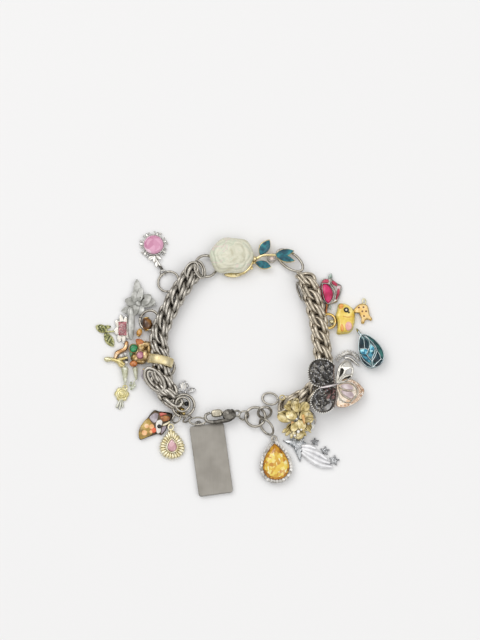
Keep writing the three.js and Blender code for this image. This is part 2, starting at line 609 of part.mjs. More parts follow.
// ---- citrine drop: a paved pear frame and its stone ----
const CITRINE = { x: 15.7, y: -43.3, turn: 4, across: 14.0, tall: 19.0, high: 2.9 };
const CITRINE_STONE = { across: 11.4, tall: 16.0, drop: -0.3, seat: 1.0, girdle: 2.6, high: 4.4 };
const PEAR_POINTS = 26;

function citrineFrame() {
  const edge = pear(CITRINE.across, CITRINE.tall, PEAR_POINTS);
  const frame = mound(edge, [[FLOOR, 0.95], [0.8, 1], [CITRINE.high, 0.94]]);
  const stone = pear(CITRINE_STONE.across + 2 * GAP, CITRINE_STONE.tall + 2 * GAP, PEAR_POINTS);
  const socket = place(slab(stone, CITRINE_STONE.seat, 5), 0, CITRINE_STONE.drop, 0);
  const bail = place(wireRing(1.2, 1.0, 0.9, 10), 0, 9.9, 1.6, 90);
  const drop = place(join([frame, bail], [socket]), CITRINE.x, CITRINE.y, 0, CITRINE.turn);
  return join([drop], clearOf('citrine_ring'));
}

function citrineStoneDrop() {
  const { across, tall, drop, seat, girdle, high } = CITRINE_STONE;
  const stone = mound(pear(across, tall, PEAR_POINTS), [[seat + GAP, 0.6], [girdle, 1], [high, 0.62]]);
  return place(place(stone, 0, drop, 0), CITRINE.x, CITRINE.y, 0, CITRINE.turn);
}

add('citrine_frame', citrineFrame(), silver);
add('citrine_stone', citrineStoneDrop(), citrineStone);

// ---- shooting star: a large star with three trails, each ending in a small star ----
const STAR = { x: 25.4, y: -35.4, high: 1.9, waist: 2.7, trail: 1.2, inner: 0.45 };
const starArms = [
  { turn: 168, reach: 7.0 },
  { turn: 276, reach: 8.2 },
  { turn: 344, reach: 5.4 },
  { turn: 60, reach: 5.5 },
  { turn: 104, reach: 5.0 },
];
const starTrails = [
  { tip: [7.3, 1.1], bend: [3.6, 1.2], across: 2.0 },
  { tip: [11.5, -2.8], bend: [5.4, -0.4], across: 2.2 },
  { tip: [15.3, -7.1], bend: [7.0, -4.6], across: 2.4 },
];

function shootingStar() {
  const edge = starArms.flatMap(({ turn, reach }, i) => {
    const next = starArms[(i + 1) % starArms.length].turn;
    const between = radians((turn + (next < turn ? next + 360 : next)) / 2);
    return [
      [reach * Math.cos(radians(turn)), reach * Math.sin(radians(turn))],
      [STAR.waist * Math.cos(between), STAR.waist * Math.sin(between)],
    ];
  });
  const body = mound(edge, [[FLOOR, 0.96], [0.5, 1], [1.3, 0.9], [STAR.high, 0.45]]);
  const trails = starTrails.flatMap(({ tip, bend, across }) => [
    rod([[1.5, -1.5, 0.9], [...bend, 0.9], [...tip, 0.9]], STAR.trail),
    place(slab(star(5, across, STAR.inner * across), FLOOR, 1.6), ...tip, 0, 20),
  ]);
  return place(join([body, ...trails]), STAR.x, STAR.y, 0);
}

add('shooting_star', shootingStar(), brightSilver);

// ---- gold flower, leaning from the chain's top down to the star, and its cream stone ----
const FLOWER = { x: 25.2, y: -23.6, z: 6.8, lean: 17, heart: 4.0 };
const flowerPetals = [
  { turn: 172, long: 9.4, across: 6.4 },
  { turn: 108, long: 9.0, across: 6.6 },
  { turn: 38, long: 7.4, across: 6.2 },
  { turn: -30, long: 5.4, across: 5.4 },
  { turn: -98, long: 8.6, across: 6.0 },
];

function goldFlower() {
  const petals = flowerPetals.map(({ turn, long, across }) =>
    place(cushion(leaf(long, across), 0, 1.3), 0, 0, 0, turn));
  const heart = cushion(oval(FLOWER.heart, FLOWER.heart, 12), 0, 2.2);
  return place(join([...petals, heart]), FLOWER.x, FLOWER.y, FLOWER.z, 0, FLOWER.lean);
}

add('gold_flower', goldFlower(), paleGold);
add('cream_stone', place(cushion(oval(4.0, 4.0, 14), 0, 2.0), 30.6, -27.8, 1.9), creamStone);

// ---- butterfly, leaning off the chain's top to the right ----
const BUTTERFLY = { x: 42.0, y: -9.2, z: 6.3, lean: 18, wing: 1.4, body: 1.6, steps: 18 };
const wings = [
  [[-2.7, 8.3], [-4.9, 9.3], [-8.6, 9.4], [-11.3, 8.2], [-12.9, 5.7], [-13.2, 2.6], [-12.3, -0.7],
    [-9.5, -2.5], [-5.4, -2.3], [-0.4, -1.6], [-0.4, 6.8]],
  [[-2.4, -1.4], [-5.4, -2.7], [-9.1, -4.0], [-11.3, -7.1], [-12.1, -10.2], [-10.0, -13.3], [-6.3, -14.2],
    [-2.4, -12.3], [-0.1, -8.2], [-0.1, -1.8]],
  [[-0.9, -1.1], [1.9, -0.9], [5.1, 0.8], [7.3, 3.1], [7.5, 6.0], [6.3, 8.6], [3.7, 9.6], [1.2, 7.4], [-0.8, 3.4]],
  [[-0.6, -2.0], [-0.2, -6.4], [-0.5, -9.9], [1.0, -11.2], [4.7, -10.8], [8.3, -9.0], [11.1, -6.6],
    [12.4, -3.4], [11.1, -1.3], [8.3, 0.8], [4.7, 1.6], [1.6, -0.2]],
];

function butterfly() {
  const panels = wings.map((edge) => cushion(smooth(edge, BUTTERFLY.steps), 0, BUTTERFLY.wing, 0.96));
  const body = rod([[-7.2, -1.3, 1.3], [-3.0, -0.6, 1.6], [1.2, 0.2, 1.4]], BUTTERFLY.body);
  const window = place(slab(oval(2.6, 2.4, 10), -1, 3), -3.9, -11.1, 0);
  const { x, y, z, lean } = BUTTERFLY;
  return place(join([...panels, body], [window]), x, y, z, 0, 0, lean);
}

add('butterfly', butterfly(), darkSilver);

// ---- paved crescent, lying under the teardrop's edge ----
const CRESCENT = { x: 48.4, y: 0.4, z: 0.9, radius: 4.9, from: 20, to: 145, wire: 1.5, steps: 5 };

function crescent() {
  const { radius, from, to, steps } = CRESCENT;
  const arc = Array.from({ length: steps + 1 }, (_, i) => {
    const a = radians(from + ((to - from) * i) / steps);
    return [radius * Math.cos(a), radius * Math.sin(a), CRESCENT.z];
  });
  return place(rod(arc, CRESCENT.wire), CRESCENT.x, CRESCENT.y, 0);
}

add('pave_crescent', crescent(), brightSilver);

// ---- teal teardrop with its wire bail ----
const TEARDROP = { x: 57.4, y: 5.5, turn: 20, across: 11.2, tall: 15.6, low: 2.0, high: 4.8, wire: 0.7 };

function teardrop() {
  const { across, tall, low, high } = TEARDROP;
  const drop = mound(pear(across, tall, 22), [[low, 0.9], [low + 0.8, 1], [high - 0.8, 0.92], [high, 0.6]]);
  const bail = rod([[0, 7.2, 3.2], [0.1, 9.0, 2.8], [-0.2, 11.2, 2.0], [-0.2, 13.1, 1.2]], TEARDROP.wire);
  return place(join([drop, bail]), TEARDROP.x, TEARDROP.y, 0, TEARDROP.turn);
}

add('teardrop', teardrop(), tealEnamel);

// ---- gold spotted giraffe: body, bent neck, two legs and a loop at the shoulder ----
function giraffe() {
  const body = place(cushion(oval(4.4, 7.8, 14), FLOOR, 2.6), 53.6, 23.2, 0, 15);
  const neck = rod([[53.0, 26.0, 1.4], [51.8, 26.3, 1.4], [50.9, 25.3, 1.4], [50.5, 24.2, 1.4]], 1.7);
  const foreleg = rod([[54.6, 21.4, 1.2], [56.8, 20.0, 1.0]], 1.6);
  const hindleg = rod([[53.6, 20.6, 1.2], [53.2, 18.6, 1.0]], 1.5);
  const loop = place(wireRing(1.0, 1.2, 0.7, 10), 54.3, 27.5, 1.3);
  return join([body, neck, foreleg, hindleg, loop]);
}

add('giraffe', giraffe(), gold);

// ---- yellow frog ----
const FROG = { x: 45.8, y: 20.2, high: 4.2, eye: 1.5 };

function frog() {
  const edge = smooth([[4.0, 1.2], [3.6, 4.2], [0.8, 6.4], [-2.4, 6.0], [-4.0, 2.6], [-4.4, -1.4],
    [-3.8, -6.4], [0.0, -6.8], [3.0, -5.8], [4.2, -2.4]], 20);
  const eye = place(ball(FROG.eye), 0.7, 3.9, 3.2);
  const shape = place(join([cushion(edge, FLOOR, FROG.high), eye]), FROG.x, FROG.y, 0);
  return join([shape], clearOf('frog_ring'));
}

add('frog', frog(), yellowEnamel);

// ---- tulip: three petals that share a base, a stem, and a bud behind ----
const TULIP = { x: 40.0, y: 31.8, base: -5.6 };
const tulipPetals = [
  { turn: 94, long: 11.6, across: 5.8, high: 3.2 },
  { turn: 112, long: 11.0, across: 5.0, high: 2.6 },
  { turn: 68, long: 11.0, across: 5.0, high: 2.6 },
];

function tulip() {
  const petals = tulipPetals.map(({ turn, long, across, high }) =>
    place(cushion(leaf(long, across), FLOOR, high), 0, TULIP.base, 0, turn));
  const stem = rod([[0.0, -4.6, 1.2], [-1.4, -7.0, 1.1], [-1.7, -9.2, 1.1]], 1.3);
  const bud = place(cushion(leaf(3.6, 2.2, 10), FLOOR, 1.8), 0.0, 4.6, 0, 80);
  return place(join([...petals, stem, bud]), TULIP.x, TULIP.y, 0);
}

add('tulip', tulip(), magentaEnamel);

// ---- stand the bracelet's lowest point on z = 0, with its box centred on the origin ----
const box = new THREE.Box3().setFromObject(bracelet);
const middle = box.getCenter(new THREE.Vector3());
bracelet.children.forEach((mesh) => mesh.geometry.translate(-middle.x, -middle.y, -box.min.z));

export default bracelet;
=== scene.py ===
# A charm bracelet laid on a pale table: a thick double-link silver chain in an open ring, closed by a lobster
# clasp, with rings, drops and charms of silver, gold, enamel, pearl and stone round its outside.
import math

import bmesh
import bpy
import numpy as np
from mathutils import Matrix, Vector


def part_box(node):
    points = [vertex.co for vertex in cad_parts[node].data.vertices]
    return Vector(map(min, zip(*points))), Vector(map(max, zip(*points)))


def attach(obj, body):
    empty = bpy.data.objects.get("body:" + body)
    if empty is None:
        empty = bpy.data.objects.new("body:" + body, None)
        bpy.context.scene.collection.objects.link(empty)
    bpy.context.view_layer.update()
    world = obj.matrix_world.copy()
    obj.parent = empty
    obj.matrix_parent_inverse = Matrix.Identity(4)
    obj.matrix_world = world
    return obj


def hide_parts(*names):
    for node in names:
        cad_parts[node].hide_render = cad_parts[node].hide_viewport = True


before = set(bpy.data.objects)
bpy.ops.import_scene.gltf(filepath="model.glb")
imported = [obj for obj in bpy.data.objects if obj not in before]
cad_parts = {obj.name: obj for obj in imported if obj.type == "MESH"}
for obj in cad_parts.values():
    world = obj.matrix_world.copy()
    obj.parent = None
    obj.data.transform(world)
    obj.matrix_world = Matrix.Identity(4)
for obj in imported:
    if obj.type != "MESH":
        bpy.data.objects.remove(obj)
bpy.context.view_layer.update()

MM = 0.001


# ---- table, light and camera ----
# A smooth matt white table top under wide, even studio light: soft boxes above its far left and near right
# sides, and a pale room all round. The camera looks almost straight down through a long lens.
TABLE_HALF = 3.0
TABLE_TONE = (0.83, 0.83, 0.835, 1)
ROOM_TONES = [(0.0, 0.20), (0.30, 0.26), (0.62, 0.62), (0.86, 1.0)]
ROOM_BRIGHT = 1.17
SOFT_BOXES = [("far_left_box", (-0.75, 0.75, 1.25), 6.0), ("near_right_box", (0.9, -0.5, 1.3), 4.0)]
CAMERA_FAR = 2.4
CAMERA_TILT = math.radians(79)
CAMERA_LENS = 310.5
CAMERA_AIM = Vector((-0.4, 19.1, 0)) * MM


def add(tree, kind, values=None, **settings):
    """A new node: settings are its own properties, values its inputs' values by name or number."""
    node = tree.nodes.new(kind)
    for title, setting in settings.items():
        setattr(node, title, setting)
    for title, value in (values or {}).items():
        node.inputs[title].default_value = value
    return node


def join(tree, *rows):
    """Links in a tree: rows of (node, output, node, input)."""
    for source, out, target, into in rows:
        tree.links.new(source.outputs[out], target.inputs[into])


def ramp_of(tree, stops):
    """A colour ramp with stops of (place, red, green, blue)."""
    ramp = tree.nodes.new("ShaderNodeValToRGB")
    held = ramp.color_ramp.elements
    for i, (place, *colour) in enumerate(stops):
        stop = held[i] if i < 2 else held.new(place)
        stop.position, stop.color = place, (*colour, 1)
    return ramp


def new_material(name):
    """A new material, its node tree and its shader."""
    material = bpy.data.materials.new(name)
    material.use_nodes = True
    return material, material.node_tree, material.node_tree.nodes["Principled BSDF"]


def show(name, data):
    """An object with this data, in the scene."""
    thing = bpy.data.objects.new(name, data)
    bpy.context.scene.collection.objects.link(thing)
    return thing


def looking(thing, place, way):
    """Puts a lamp or the camera in its place and points it."""
    thing.location = place
    thing.rotation_mode = "QUATERNION"
    thing.rotation_quaternion = way.to_track_quat("-Z", "Y")


paint, tree, shader = new_material("table_top")
where = add(tree, "ShaderNodeTexCoord")
cloud = add(tree, "ShaderNodeTexNoise", {"Scale": 900, "Detail": 3})
shade = add(tree, "ShaderNodeMapRange", {"To Min": 0.52, "To Max": 0.62})
join(tree, (where, "Object", cloud, "Vector"), (cloud, "Fac", shade, "Value"),
     (shade, "Result", shader, "Roughness"))
shader.inputs["Base Color"].default_value = TABLE_TONE
shader.inputs["Specular IOR Level"].default_value = 0.15
table = bpy.data.meshes.new("table_top")
corners = [(x * TABLE_HALF, y * TABLE_HALF, 0) for x, y in ((-1, -1), (1, -1), (1, 1), (-1, 1))]
table.from_pydata(corners, [], [(0, 1, 2, 3)])
table.materials.append(paint)
show("table_top", table)

# The pale room is brightest overhead and greyer towards its walls, so that metal has something to mirror.
room = bpy.data.worlds.new("room")
room.use_nodes = True
bpy.context.scene.world = room
tree = room.node_tree
where = add(tree, "ShaderNodeTexCoord")
split = add(tree, "ShaderNodeSeparateXYZ")
ramp = ramp_of(tree, [(high, tone, tone * 0.992, tone * 0.98) for high, tone in ROOM_TONES])
ramp.color_ramp.interpolation = "EASE"
back = tree.nodes["Background"]
back.inputs["Strength"].default_value = ROOM_BRIGHT
join(tree, (where, "Generated", split, "Vector"), (split, "Z", ramp, "Fac"), (ramp, "Color", back, "Color"))
for name, place, power in SOFT_BOXES:
    lamp = bpy.data.lights.new(name, "AREA")
    lamp.shape, lamp.size, lamp.energy = "SQUARE", 1.0, power
    looking(show(name, lamp), place, -Vector(place))

camera = show("camera", bpy.data.cameras.new("camera"))
camera.data.lens, camera.data.sensor_width, camera.data.clip_end = CAMERA_LENS, 36, 20
away = Vector((0, -math.cos(CAMERA_TILT), math.sin(CAMERA_TILT)))
looking(camera, CAMERA_AIM + away * CAMERA_FAR, -away)
bpy.context.scene.camera = camera
bpy.context.scene.view_settings.view_transform = "Standard"


# ---- chain ----
# Polished silver links, each of two thick round wires lying side by side, bent into an oval and given a
# quarter twist so that every link hooks through the next and the chain lies like a thick cord. The crevices
# between the wires are painted darker: painted shade, with some tarnish.
THREAD_HEIGHT = 3.75
LINK_HALF_LONG, LINK_HALF_WIDE = 4.0, 2.75
LINK_WIRE = 1.65
LINK_PITCH = 3.1
LINK_TWIST, LINK_LEAN, LINK_SWAY, LINK_ROLL = (math.radians(a) for a in (45, 40, 80, 10))
left_thread = [
    (-17.6, 43.0), (-22.8, 35.9), (-28.5, 27.0), (-33.3, 16.8), (-35.0, 10.6), (-34.6, 5.4),
    (-33.6, 0.3), (-33.3, -4.9), (-32.0, -10.2), (-28.6, -15.9),
]
outer_thread = [(-34.6, -0.9), (-35.0, -5.1), (-34.1, -10.0), (-31.3, -14.2), (-28.3, -17.9), (-25.4, -20.6)]
right_thread = [
    (26.2, 41.0), (28.9, 37.0), (30.9, 31.9), (32.4, 25.7), (34.1, 18.6), (35.0, 11.5), (35.9, 5.3),
    (36.5, 0.4), (35.7, -5.9), (32.8, -11.5), (27.6, -15.9), (21.6, -18.6), (15.6, -21.3),
]
# x, y, z, half-lengths along and across, wire, turn and roll of each longer link
long_links = [
    (-36.7, -8.2, 5.8, 5.2, 2.6, 1.5, -52, 12), (-20.9, 40.6, 5.4, 3.2, 2.0, 0.95, 55, 15),
    (-17.4, 40.8, 4.4, 3.6, 1.9, 0.95, -72, -24),
]

# The bracelet is drawn in millimetres about the middle of its ring. The pearl beside the rose ties that
# drawing to the frame.
PEARL_DRAWN = Vector((14.1, 46.4))
pearl_low, pearl_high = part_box("rose_pearl")
drawn_zero = (pearl_low + pearl_high).to_2d() / 2 - PEARL_DRAWN * MM
DRAWN = np.array((*drawn_zero, 0))


def shader_group(name, inputs, outputs):
    """An empty node group of plain numbers: rows of (input, default), and the names of its outputs."""
    group = bpy.data.node_groups.new(name, "ShaderNodeTree")
    for title, default in inputs:
        group.interface.new_socket(title, in_out="INPUT",
                                   socket_type="NodeSocketFloat").default_value = default
    for title in outputs:
        group.interface.new_socket(title, in_out="OUTPUT", socket_type="NodeSocketFloat")
    return group, group.nodes.new("NodeGroupInput"), group.nodes.new("NodeGroupOutput")


# Painted shade (with tarnish on metal): darker where a surface lies close to another, broken by a fine cloud.
crevice_shade_and_tarnish, given, result = shader_group("crevice_shade_and_tarnish", [("Reach", 0.001), ("Cloud Scale", 900.0),
                                                  ("Strength", 1.0)], ["Mask"])
near = add(crevice_shade_and_tarnish, "ShaderNodeAmbientOcclusion", samples=8)
where = add(crevice_shade_and_tarnish, "ShaderNodeTexCoord")
cloud = add(crevice_shade_and_tarnish, "ShaderNodeTexNoise", {"Detail": 4})
shut = add(crevice_shade_and_tarnish, "ShaderNodeMapRange", {"From Min": 0.25, "From Max": 0.85, "To Min": 1, "To Max": 0})
broken = add(crevice_shade_and_tarnish, "ShaderNodeMath", {1: 0.35}, operation="MULTIPLY_ADD")
shifted = add(crevice_shade_and_tarnish, "ShaderNodeMath", {1: 0.17}, operation="SUBTRACT")
amount = add(crevice_shade_and_tarnish, "ShaderNodeMath", operation="MULTIPLY", use_clamp=True)
join(crevice_shade_and_tarnish, (given, "Reach", near, "Distance"), (where, "Object", cloud, "Vector"),
     (given, "Cloud Scale", cloud, "Scale"), (near, "AO", shut, "Value"), (cloud, "Fac", broken, 0),
     (shut, "Result", broken, 2), (broken, 0, shifted, 0), (shifted, 0, amount, 0),
     (given, "Strength", amount, 1), (amount, 0, result, "Mask"))

# Fine scratches and dents of a worn cast surface: a height for a bump, and a value for roughness.
handling, given, result = shader_group("handling", [("Scale", 2500.0), ("Smooth", 0.2), ("Worn", 0.4)],
                                       ["Height", "Roughness"])
where = add(handling, "ShaderNodeTexCoord")
marks = add(handling, "ShaderNodeTexNoise", {"Detail": 6, "Roughness": 0.6})
shade = add(handling, "ShaderNodeMapRange", {"From Min": 0.3, "From Max": 0.7})
join(handling, (where, "Object", marks, "Vector"), (given, "Scale", marks, "Scale"),
     (marks, "Fac", shade, "Value"), (given, "Smooth", shade, "To Min"), (given, "Worn", shade, "To Max"),
     (marks, "Fac", result, "Height"), (shade, "Result", result, "Roughness"))


def tone(code):
    """A colour's six-figure code as the linear values a shader takes."""
    parts = [int(code[i:i + 2], 16) / 255 for i in (0, 2, 4)]
    return [((c + 0.055) / 1.055) ** 2.4 if c > 0.04045 else c / 12.92 for c in parts]


def even_stops(tones, first, span):
    """Ramp stops for tones at even steps, from the first place over the span."""
    codes = tones.split()
    return [(first + span * i / max(1, len(codes) - 1), *tone(code)) for i, code in enumerate(codes)]


def coloured(tree, shader, pattern, out, stops, shade_and_tarnish_tone, shade_mask_settings, marks, dents=None, **values):
    """A pattern through a ramp on the open parts, a darker tone painted into the crevices as shade (tarnish
    too on metal), and the marks of handling.
    """
    ramp = ramp_of(tree, stops)
    shadow = add(tree, "ShaderNodeGroup", node_tree=crevice_shade_and_tarnish)
    worn = add(tree, "ShaderNodeGroup", node_tree=handling)
    for node, given in ((shadow, shade_mask_settings), (worn, marks)):
        for title, value in given.items():
            node.inputs[title].default_value = value
    # Painted shade: the shade mask mixes the darker tone into the crevices (tarnish too on metal).
    tint = add(tree, "ShaderNodeMix", {"B": (*tone(shade_and_tarnish_tone), 1)}, data_type="RGBA")
    join(tree, (pattern, out, ramp, "Fac"), (ramp, "Color", tint, "A"), (shadow, "Mask", tint, "Factor"),
         (tint, "Result", shader, "Base Color"), (worn, "Roughness", shader, "Roughness"))
    if dents:
        bump = add(tree, "ShaderNodeBump", {"Strength": dents, "Distance": 0.1 * MM})
        join(tree, (worn, "Height", bump, "Height"), (bump, "Normal", shader, "Normal"))
    for title, value in values.items():
        shader.inputs[title.replace("_", " ")].default_value = value


def finish(name, tones, shade_and_tarnish_tone, grain=700, reach=1.0, strength=0.8, smooth=0.12, worn=0.3, dents=0.05,
           metallic=0.0, coat=0.0, shine=0.5):
    """A worn surface: cloudy tones on its open parts, a darker tone painted into its crevices as shade
    (tarnish too on metal), and the marks of handling.
    """
    material, tree, shader = new_material(name)
    where = add(tree, "ShaderNodeTexCoord")
    cloud = add(tree, "ShaderNodeTexNoise", {"Scale": grain, "Detail": 3})
    join(tree, (where, "Object", cloud, "Vector"))
    coloured(tree, shader, cloud, "Fac", even_stops(tones, 0.34, 0.32), shade_and_tarnish_tone,
             {"Reach": reach * MM, "Strength": strength}, {"Smooth": smooth, "Worn": worn}, dents,
             Metallic=metallic, Specular_IOR_Level=shine, Coat_Weight=coat, Coat_Roughness=0.04)
    return material


chain_silver = finish("chain_silver", "a09b92 c8c3ba", "453c32", 500, 1.1, 1.0, 0.17, 0.35, metallic=0.88)
warm_silver = finish("warm_silver", "b3a997 d5cbba", "6a5d4e", 500, 1.1, 0.95, 0.2, 0.38, metallic=0.8)


def round_turns(count):
    """Even steps of a full turn."""
    return np.arange(count) * 2 * math.pi / count


def skinned(rings, closed=False, tips=None):
    """A skin over rings of equally many points. It has flat ends or two tips, or closes to a loop."""
    count, rows = len(rings[0]), len(rings)
    last, tip = (rows - 1) * count, rows * count
    faces = []
    for r in range(rows if closed else rows - 1):
        a, b = r * count, (r + 1) % rows * count
        faces += [(a + i, a + (i + 1) % count, b + (i + 1) % count, b + i) for i in range(count)]
    if tips is not None:
        for i in range(count):
            j = (i + 1) % count
            faces += [(tip, j, i), (tip + 1, last + i, last + j)]
        rings = [*rings, tips]
    elif not closed:
        faces += [tuple(reversed(range(count))), tuple(range(last, tip))]
    return np.concatenate(rings), faces


def tube(path, thick, sides=10, closed=False, domed=True):
    """A round wire along a path of (x, y, z), thick a number or one for each point, with domed ends."""
    path = np.asarray(path, float)
    radii = np.broadcast_to(np.asarray(thick, float) / 2, len(path))
    heads = np.roll(path, -1, 0) - np.roll(path, 1, 0) if closed else np.gradient(path, axis=0)
    heads /= np.linalg.norm(heads, axis=1)[:, None]
    side = np.cross(heads[0], (0, 0, 1))
    if np.linalg.norm(side) < 0.1:
        side = np.cross(heads[0], (0, 1, 0))
    turns = round_turns(sides)
    rings = []
    for head, spot, radius in zip(heads, path, radii):
        side = side - head * side.dot(head)
        side /= np.linalg.norm(side)
        up = np.cross(side, head)
        rings.append(spot + radius * (np.outer(np.cos(turns), side) + np.outer(np.sin(turns), up)))
    if domed and not closed:
        for end, way in ((0, -1), (-1, 1)):
            middle, rim = path[end], rings[end] - path[end]
            dome = [middle + rim * math.cos(a) + heads[end] * way * radii[end] * math.sin(a) * 0.8
                    for a in (math.radians(35), math.radians(68))]
            rings = dome[::-1] + rings if way < 0 else rings + dome
    return skinned(rings, closed)


def joined(shapes):
    """Several closed shapes as one list of points and faces."""
    points, faces, start = [], [], 0
    for part_points, part_faces in shapes:
        points.append(np.asarray(part_points, float))
        faces += [tuple(i + start for i in face) for face in part_faces]
        start += len(part_points)
    return np.concatenate(points), faces


def turned(shape, x=0.0, y=0.0, turn=0.0, z=0.0, lean=None):
    """A shape leaned about an axis through its zero, turned on the table and carried to its place."""
    swing = Matrix.Rotation(math.radians(turn), 3, "Z")
    if lean:
        swing = Matrix.Rotation(math.radians(lean[1]), 3, lean[0]) @ swing
    return np.asarray(shape[0], float) @ np.array(swing).T + (x, y, z), shape[1]


def make_mesh(name, points, faces, smooth=True, materials=(), which=None):
    """A mesh from points in metres, its faces turned outwards."""
    mesh = bpy.data.meshes.new(name)
    mesh.from_pydata([tuple(p) for p in points], [], faces)
    mesh.validate()
    for material in materials:
        mesh.materials.append(material)
    if which:
        mesh.polygons.foreach_set("material_index", which)
    mesh.polygons.foreach_set("use_smooth", [smooth] * len(mesh.polygons))
    work = bmesh.new()
    work.from_mesh(mesh)
    bmesh.ops.recalc_face_normals(work, faces=work.faces)
    work.to_mesh(mesh)
    work.free()
    return mesh


def put(name, mesh, node, body="bracelet"):
    """A finished piece: it rides on its body and stands for its node, whose plain part is hidden."""
    thing = show(name, mesh)
    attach(thing, body)
    if node:
        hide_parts(node)
    return thing


def piece(name, shapes, node, material, at=(), body="bracelet", smooth=True):
    """One piece from closed shapes drawn in millimetres and set down at a place. Where its shapes have
    finishes of their own, material is None and they are rows of (shape, material)."""
    rows = shapes if material is None else [(shape, material) for shape in shapes]
    shapes = [turned(shape, *at) for shape, _ in rows]
    materials = list(dict.fromkeys(paint for _, paint in rows))
    which = [materials.index(paint) for shape, paint in rows
             for _ in shape[1]] if len(materials) > 1 else None
    points, faces = joined(shapes)
    return put(name, make_mesh(name, points * MM + DRAWN, faces, smooth, materials, which), node,
               body)


def double_link():
    """One link about its own centre, its length along X: two wires side by side, with a quarter twist."""
    turns = round_turns(34)
    x, y = LINK_HALF_LONG * np.cos(turns), LINK_HALF_WIDE * np.sin(turns)
    twist = LINK_TWIST * x / LINK_HALF_LONG
    wires = []
    for z in (-0.5 * LINK_WIRE, 0.5 * LINK_WIRE):
        line = [x, y * np.cos(twist) - z * np.sin(twist), y * np.sin(twist) + z * np.cos(twist)]
        wires.append(tube(np.stack(line, 1), LINK_WIRE, 10, True))
    points, faces = joined(wires)
    return bpy.data.objects.new("double_link", make_mesh("double_link", points * MM, faces))


def geometry_tree(name, takes, inputs):
    """An empty geometry node tree that takes a line or spots, a shape to copy and its finish."""
    tree = bpy.data.node_groups.new(name, "GeometryNodeTree")
    tree.is_modifier = True
    rows = [(takes, "Geometry", None), ("Shape", "Object", None), *inputs, ("Seed", "Int", 1),
            ("Finish", "Material", None)]
    for title, kind, default in rows:
        socket = tree.interface.new_socket(title, in_out="INPUT", socket_type="NodeSocket" + kind)
        if default is not None:
            socket.default_value = default
    tree.interface.new_socket("Made", in_out="OUTPUT", socket_type="NodeSocketGeometry")
    return tree, tree.nodes.new("NodeGroupInput"), tree.nodes.new("NodeGroupOutput")


def copies_on(tree, given, result, spots, rotation):
    """The end of such a tree: a copy of the shape on every spot, made real and given its finish."""
    shape = add(tree, "GeometryNodeObjectInfo")
    copies = add(tree, "GeometryNodeInstanceOnPoints")
    solid = add(tree, "GeometryNodeRealizeInstances")
    paint = add(tree, "GeometryNodeSetMaterial")
    join(tree, (given, "Shape", shape, "Object"), (spots, "Points", copies, "Points"),
         (shape, "Geometry", copies, "Instance"), (rotation, "Rotation", copies, "Rotation"),
         (copies, "Instances", solid, "Geometry"), (solid, "Geometry", paint, "Geometry"),
         (given, "Finish", paint, "Material"), (paint, "Geometry", result, "Made"))
    return copies


def build_string_of_links():
    """Geometry nodes: copies of one link along a thread. Each is turned to its heading, leaned, a little
    rolled, and swayed to one side or the other by turns."""
    tree, given, result = geometry_tree("string_of_links", "Thread", [
        ("Links", "Int", 12), ("Lean", "Float", 0.3), ("Roll", "Float", 0.2), ("Sway", "Float", 0.5)])
    spots = add(tree, "GeometryNodeCurveToPoints", mode="COUNT")
    heading = add(tree, "FunctionNodeAlignRotationToVector", axis="X", pivot_axis="Z")
    roll = add(tree, "FunctionNodeRandomValue", data_type="FLOAT")
    less = add(tree, "ShaderNodeMath", {1: -1}, operation="MULTIPLY")
    number = add(tree, "GeometryNodeInputIndex")
    odd = add(tree, "ShaderNodeMath", {1: 2}, operation="MODULO")
    centred = add(tree, "ShaderNodeMath", {1: 0.5}, operation="SUBTRACT")
    swayed = add(tree, "ShaderNodeMath", operation="MULTIPLY_ADD")
    lean = add(tree, "ShaderNodeCombineXYZ")
    to_turn = add(tree, "FunctionNodeEulerToRotation")
    laid = add(tree, "FunctionNodeRotateRotation", rotation_space="LOCAL")
    join(tree, (given, "Thread", spots, "Curve"), (given, "Links", spots, "Count"),
         (spots, "Tangent", heading, "Vector"), (given, "Roll", roll, "Max"), (given, "Roll", less, 0),
         (less, 0, roll, "Min"), (given, "Seed", roll, "Seed"), (number, "Index", odd, 0),
         (odd, 0, centred, 0), (centred, 0, swayed, 0), (given, "Sway", swayed, 1),
         (roll, "Value", swayed, 2), (swayed, 0, lean, "X"), (given, "Lean", lean, "Z"),
         (lean, "Vector", to_turn, "Euler"), (heading, "Rotation", laid, "Rotation"),
         (to_turn, "Rotation", laid, "Rotate By"))
    copies_on(tree, given, result, spots, laid)
    return tree


def grown(name, base, tree, **values):
    """What a node tree makes of an object's data, as a plain mesh; the base object is then thrown away."""
    carrier = show(name, base)
    modifier = carrier.modifiers.new("grow", "NODES")
    modifier.node_group = tree
    titles = {item.name: item.identifier for item in tree.interface.items_tree
              if item.item_type == "SOCKET" and item.in_out == "INPUT"}
    for title, value in values.items():
        modifier[titles[title]] = value
    carrier.update_tag()
    depsgraph = bpy.context.evaluated_depsgraph_get()
    mesh = bpy.data.meshes.new_from_object(carrier.evaluated_get(depsgraph), depsgraph=depsgraph)
    mesh.name = name
    carrier.modifiers.remove(modifier)
    bpy.data.objects.remove(carrier)
    return mesh


def run_along(line):
    """How far along a line each of its points lies."""
    return np.concatenate([[0], np.cumsum(np.linalg.norm(np.diff(line, axis=0), axis=1))])


def at_stops(line, stops):
    """The points at these distances along a line."""
    run = run_along(line)
    return np.stack([np.interp(stops, run, line[:, k]) for k in range(line.shape[1])], 1)


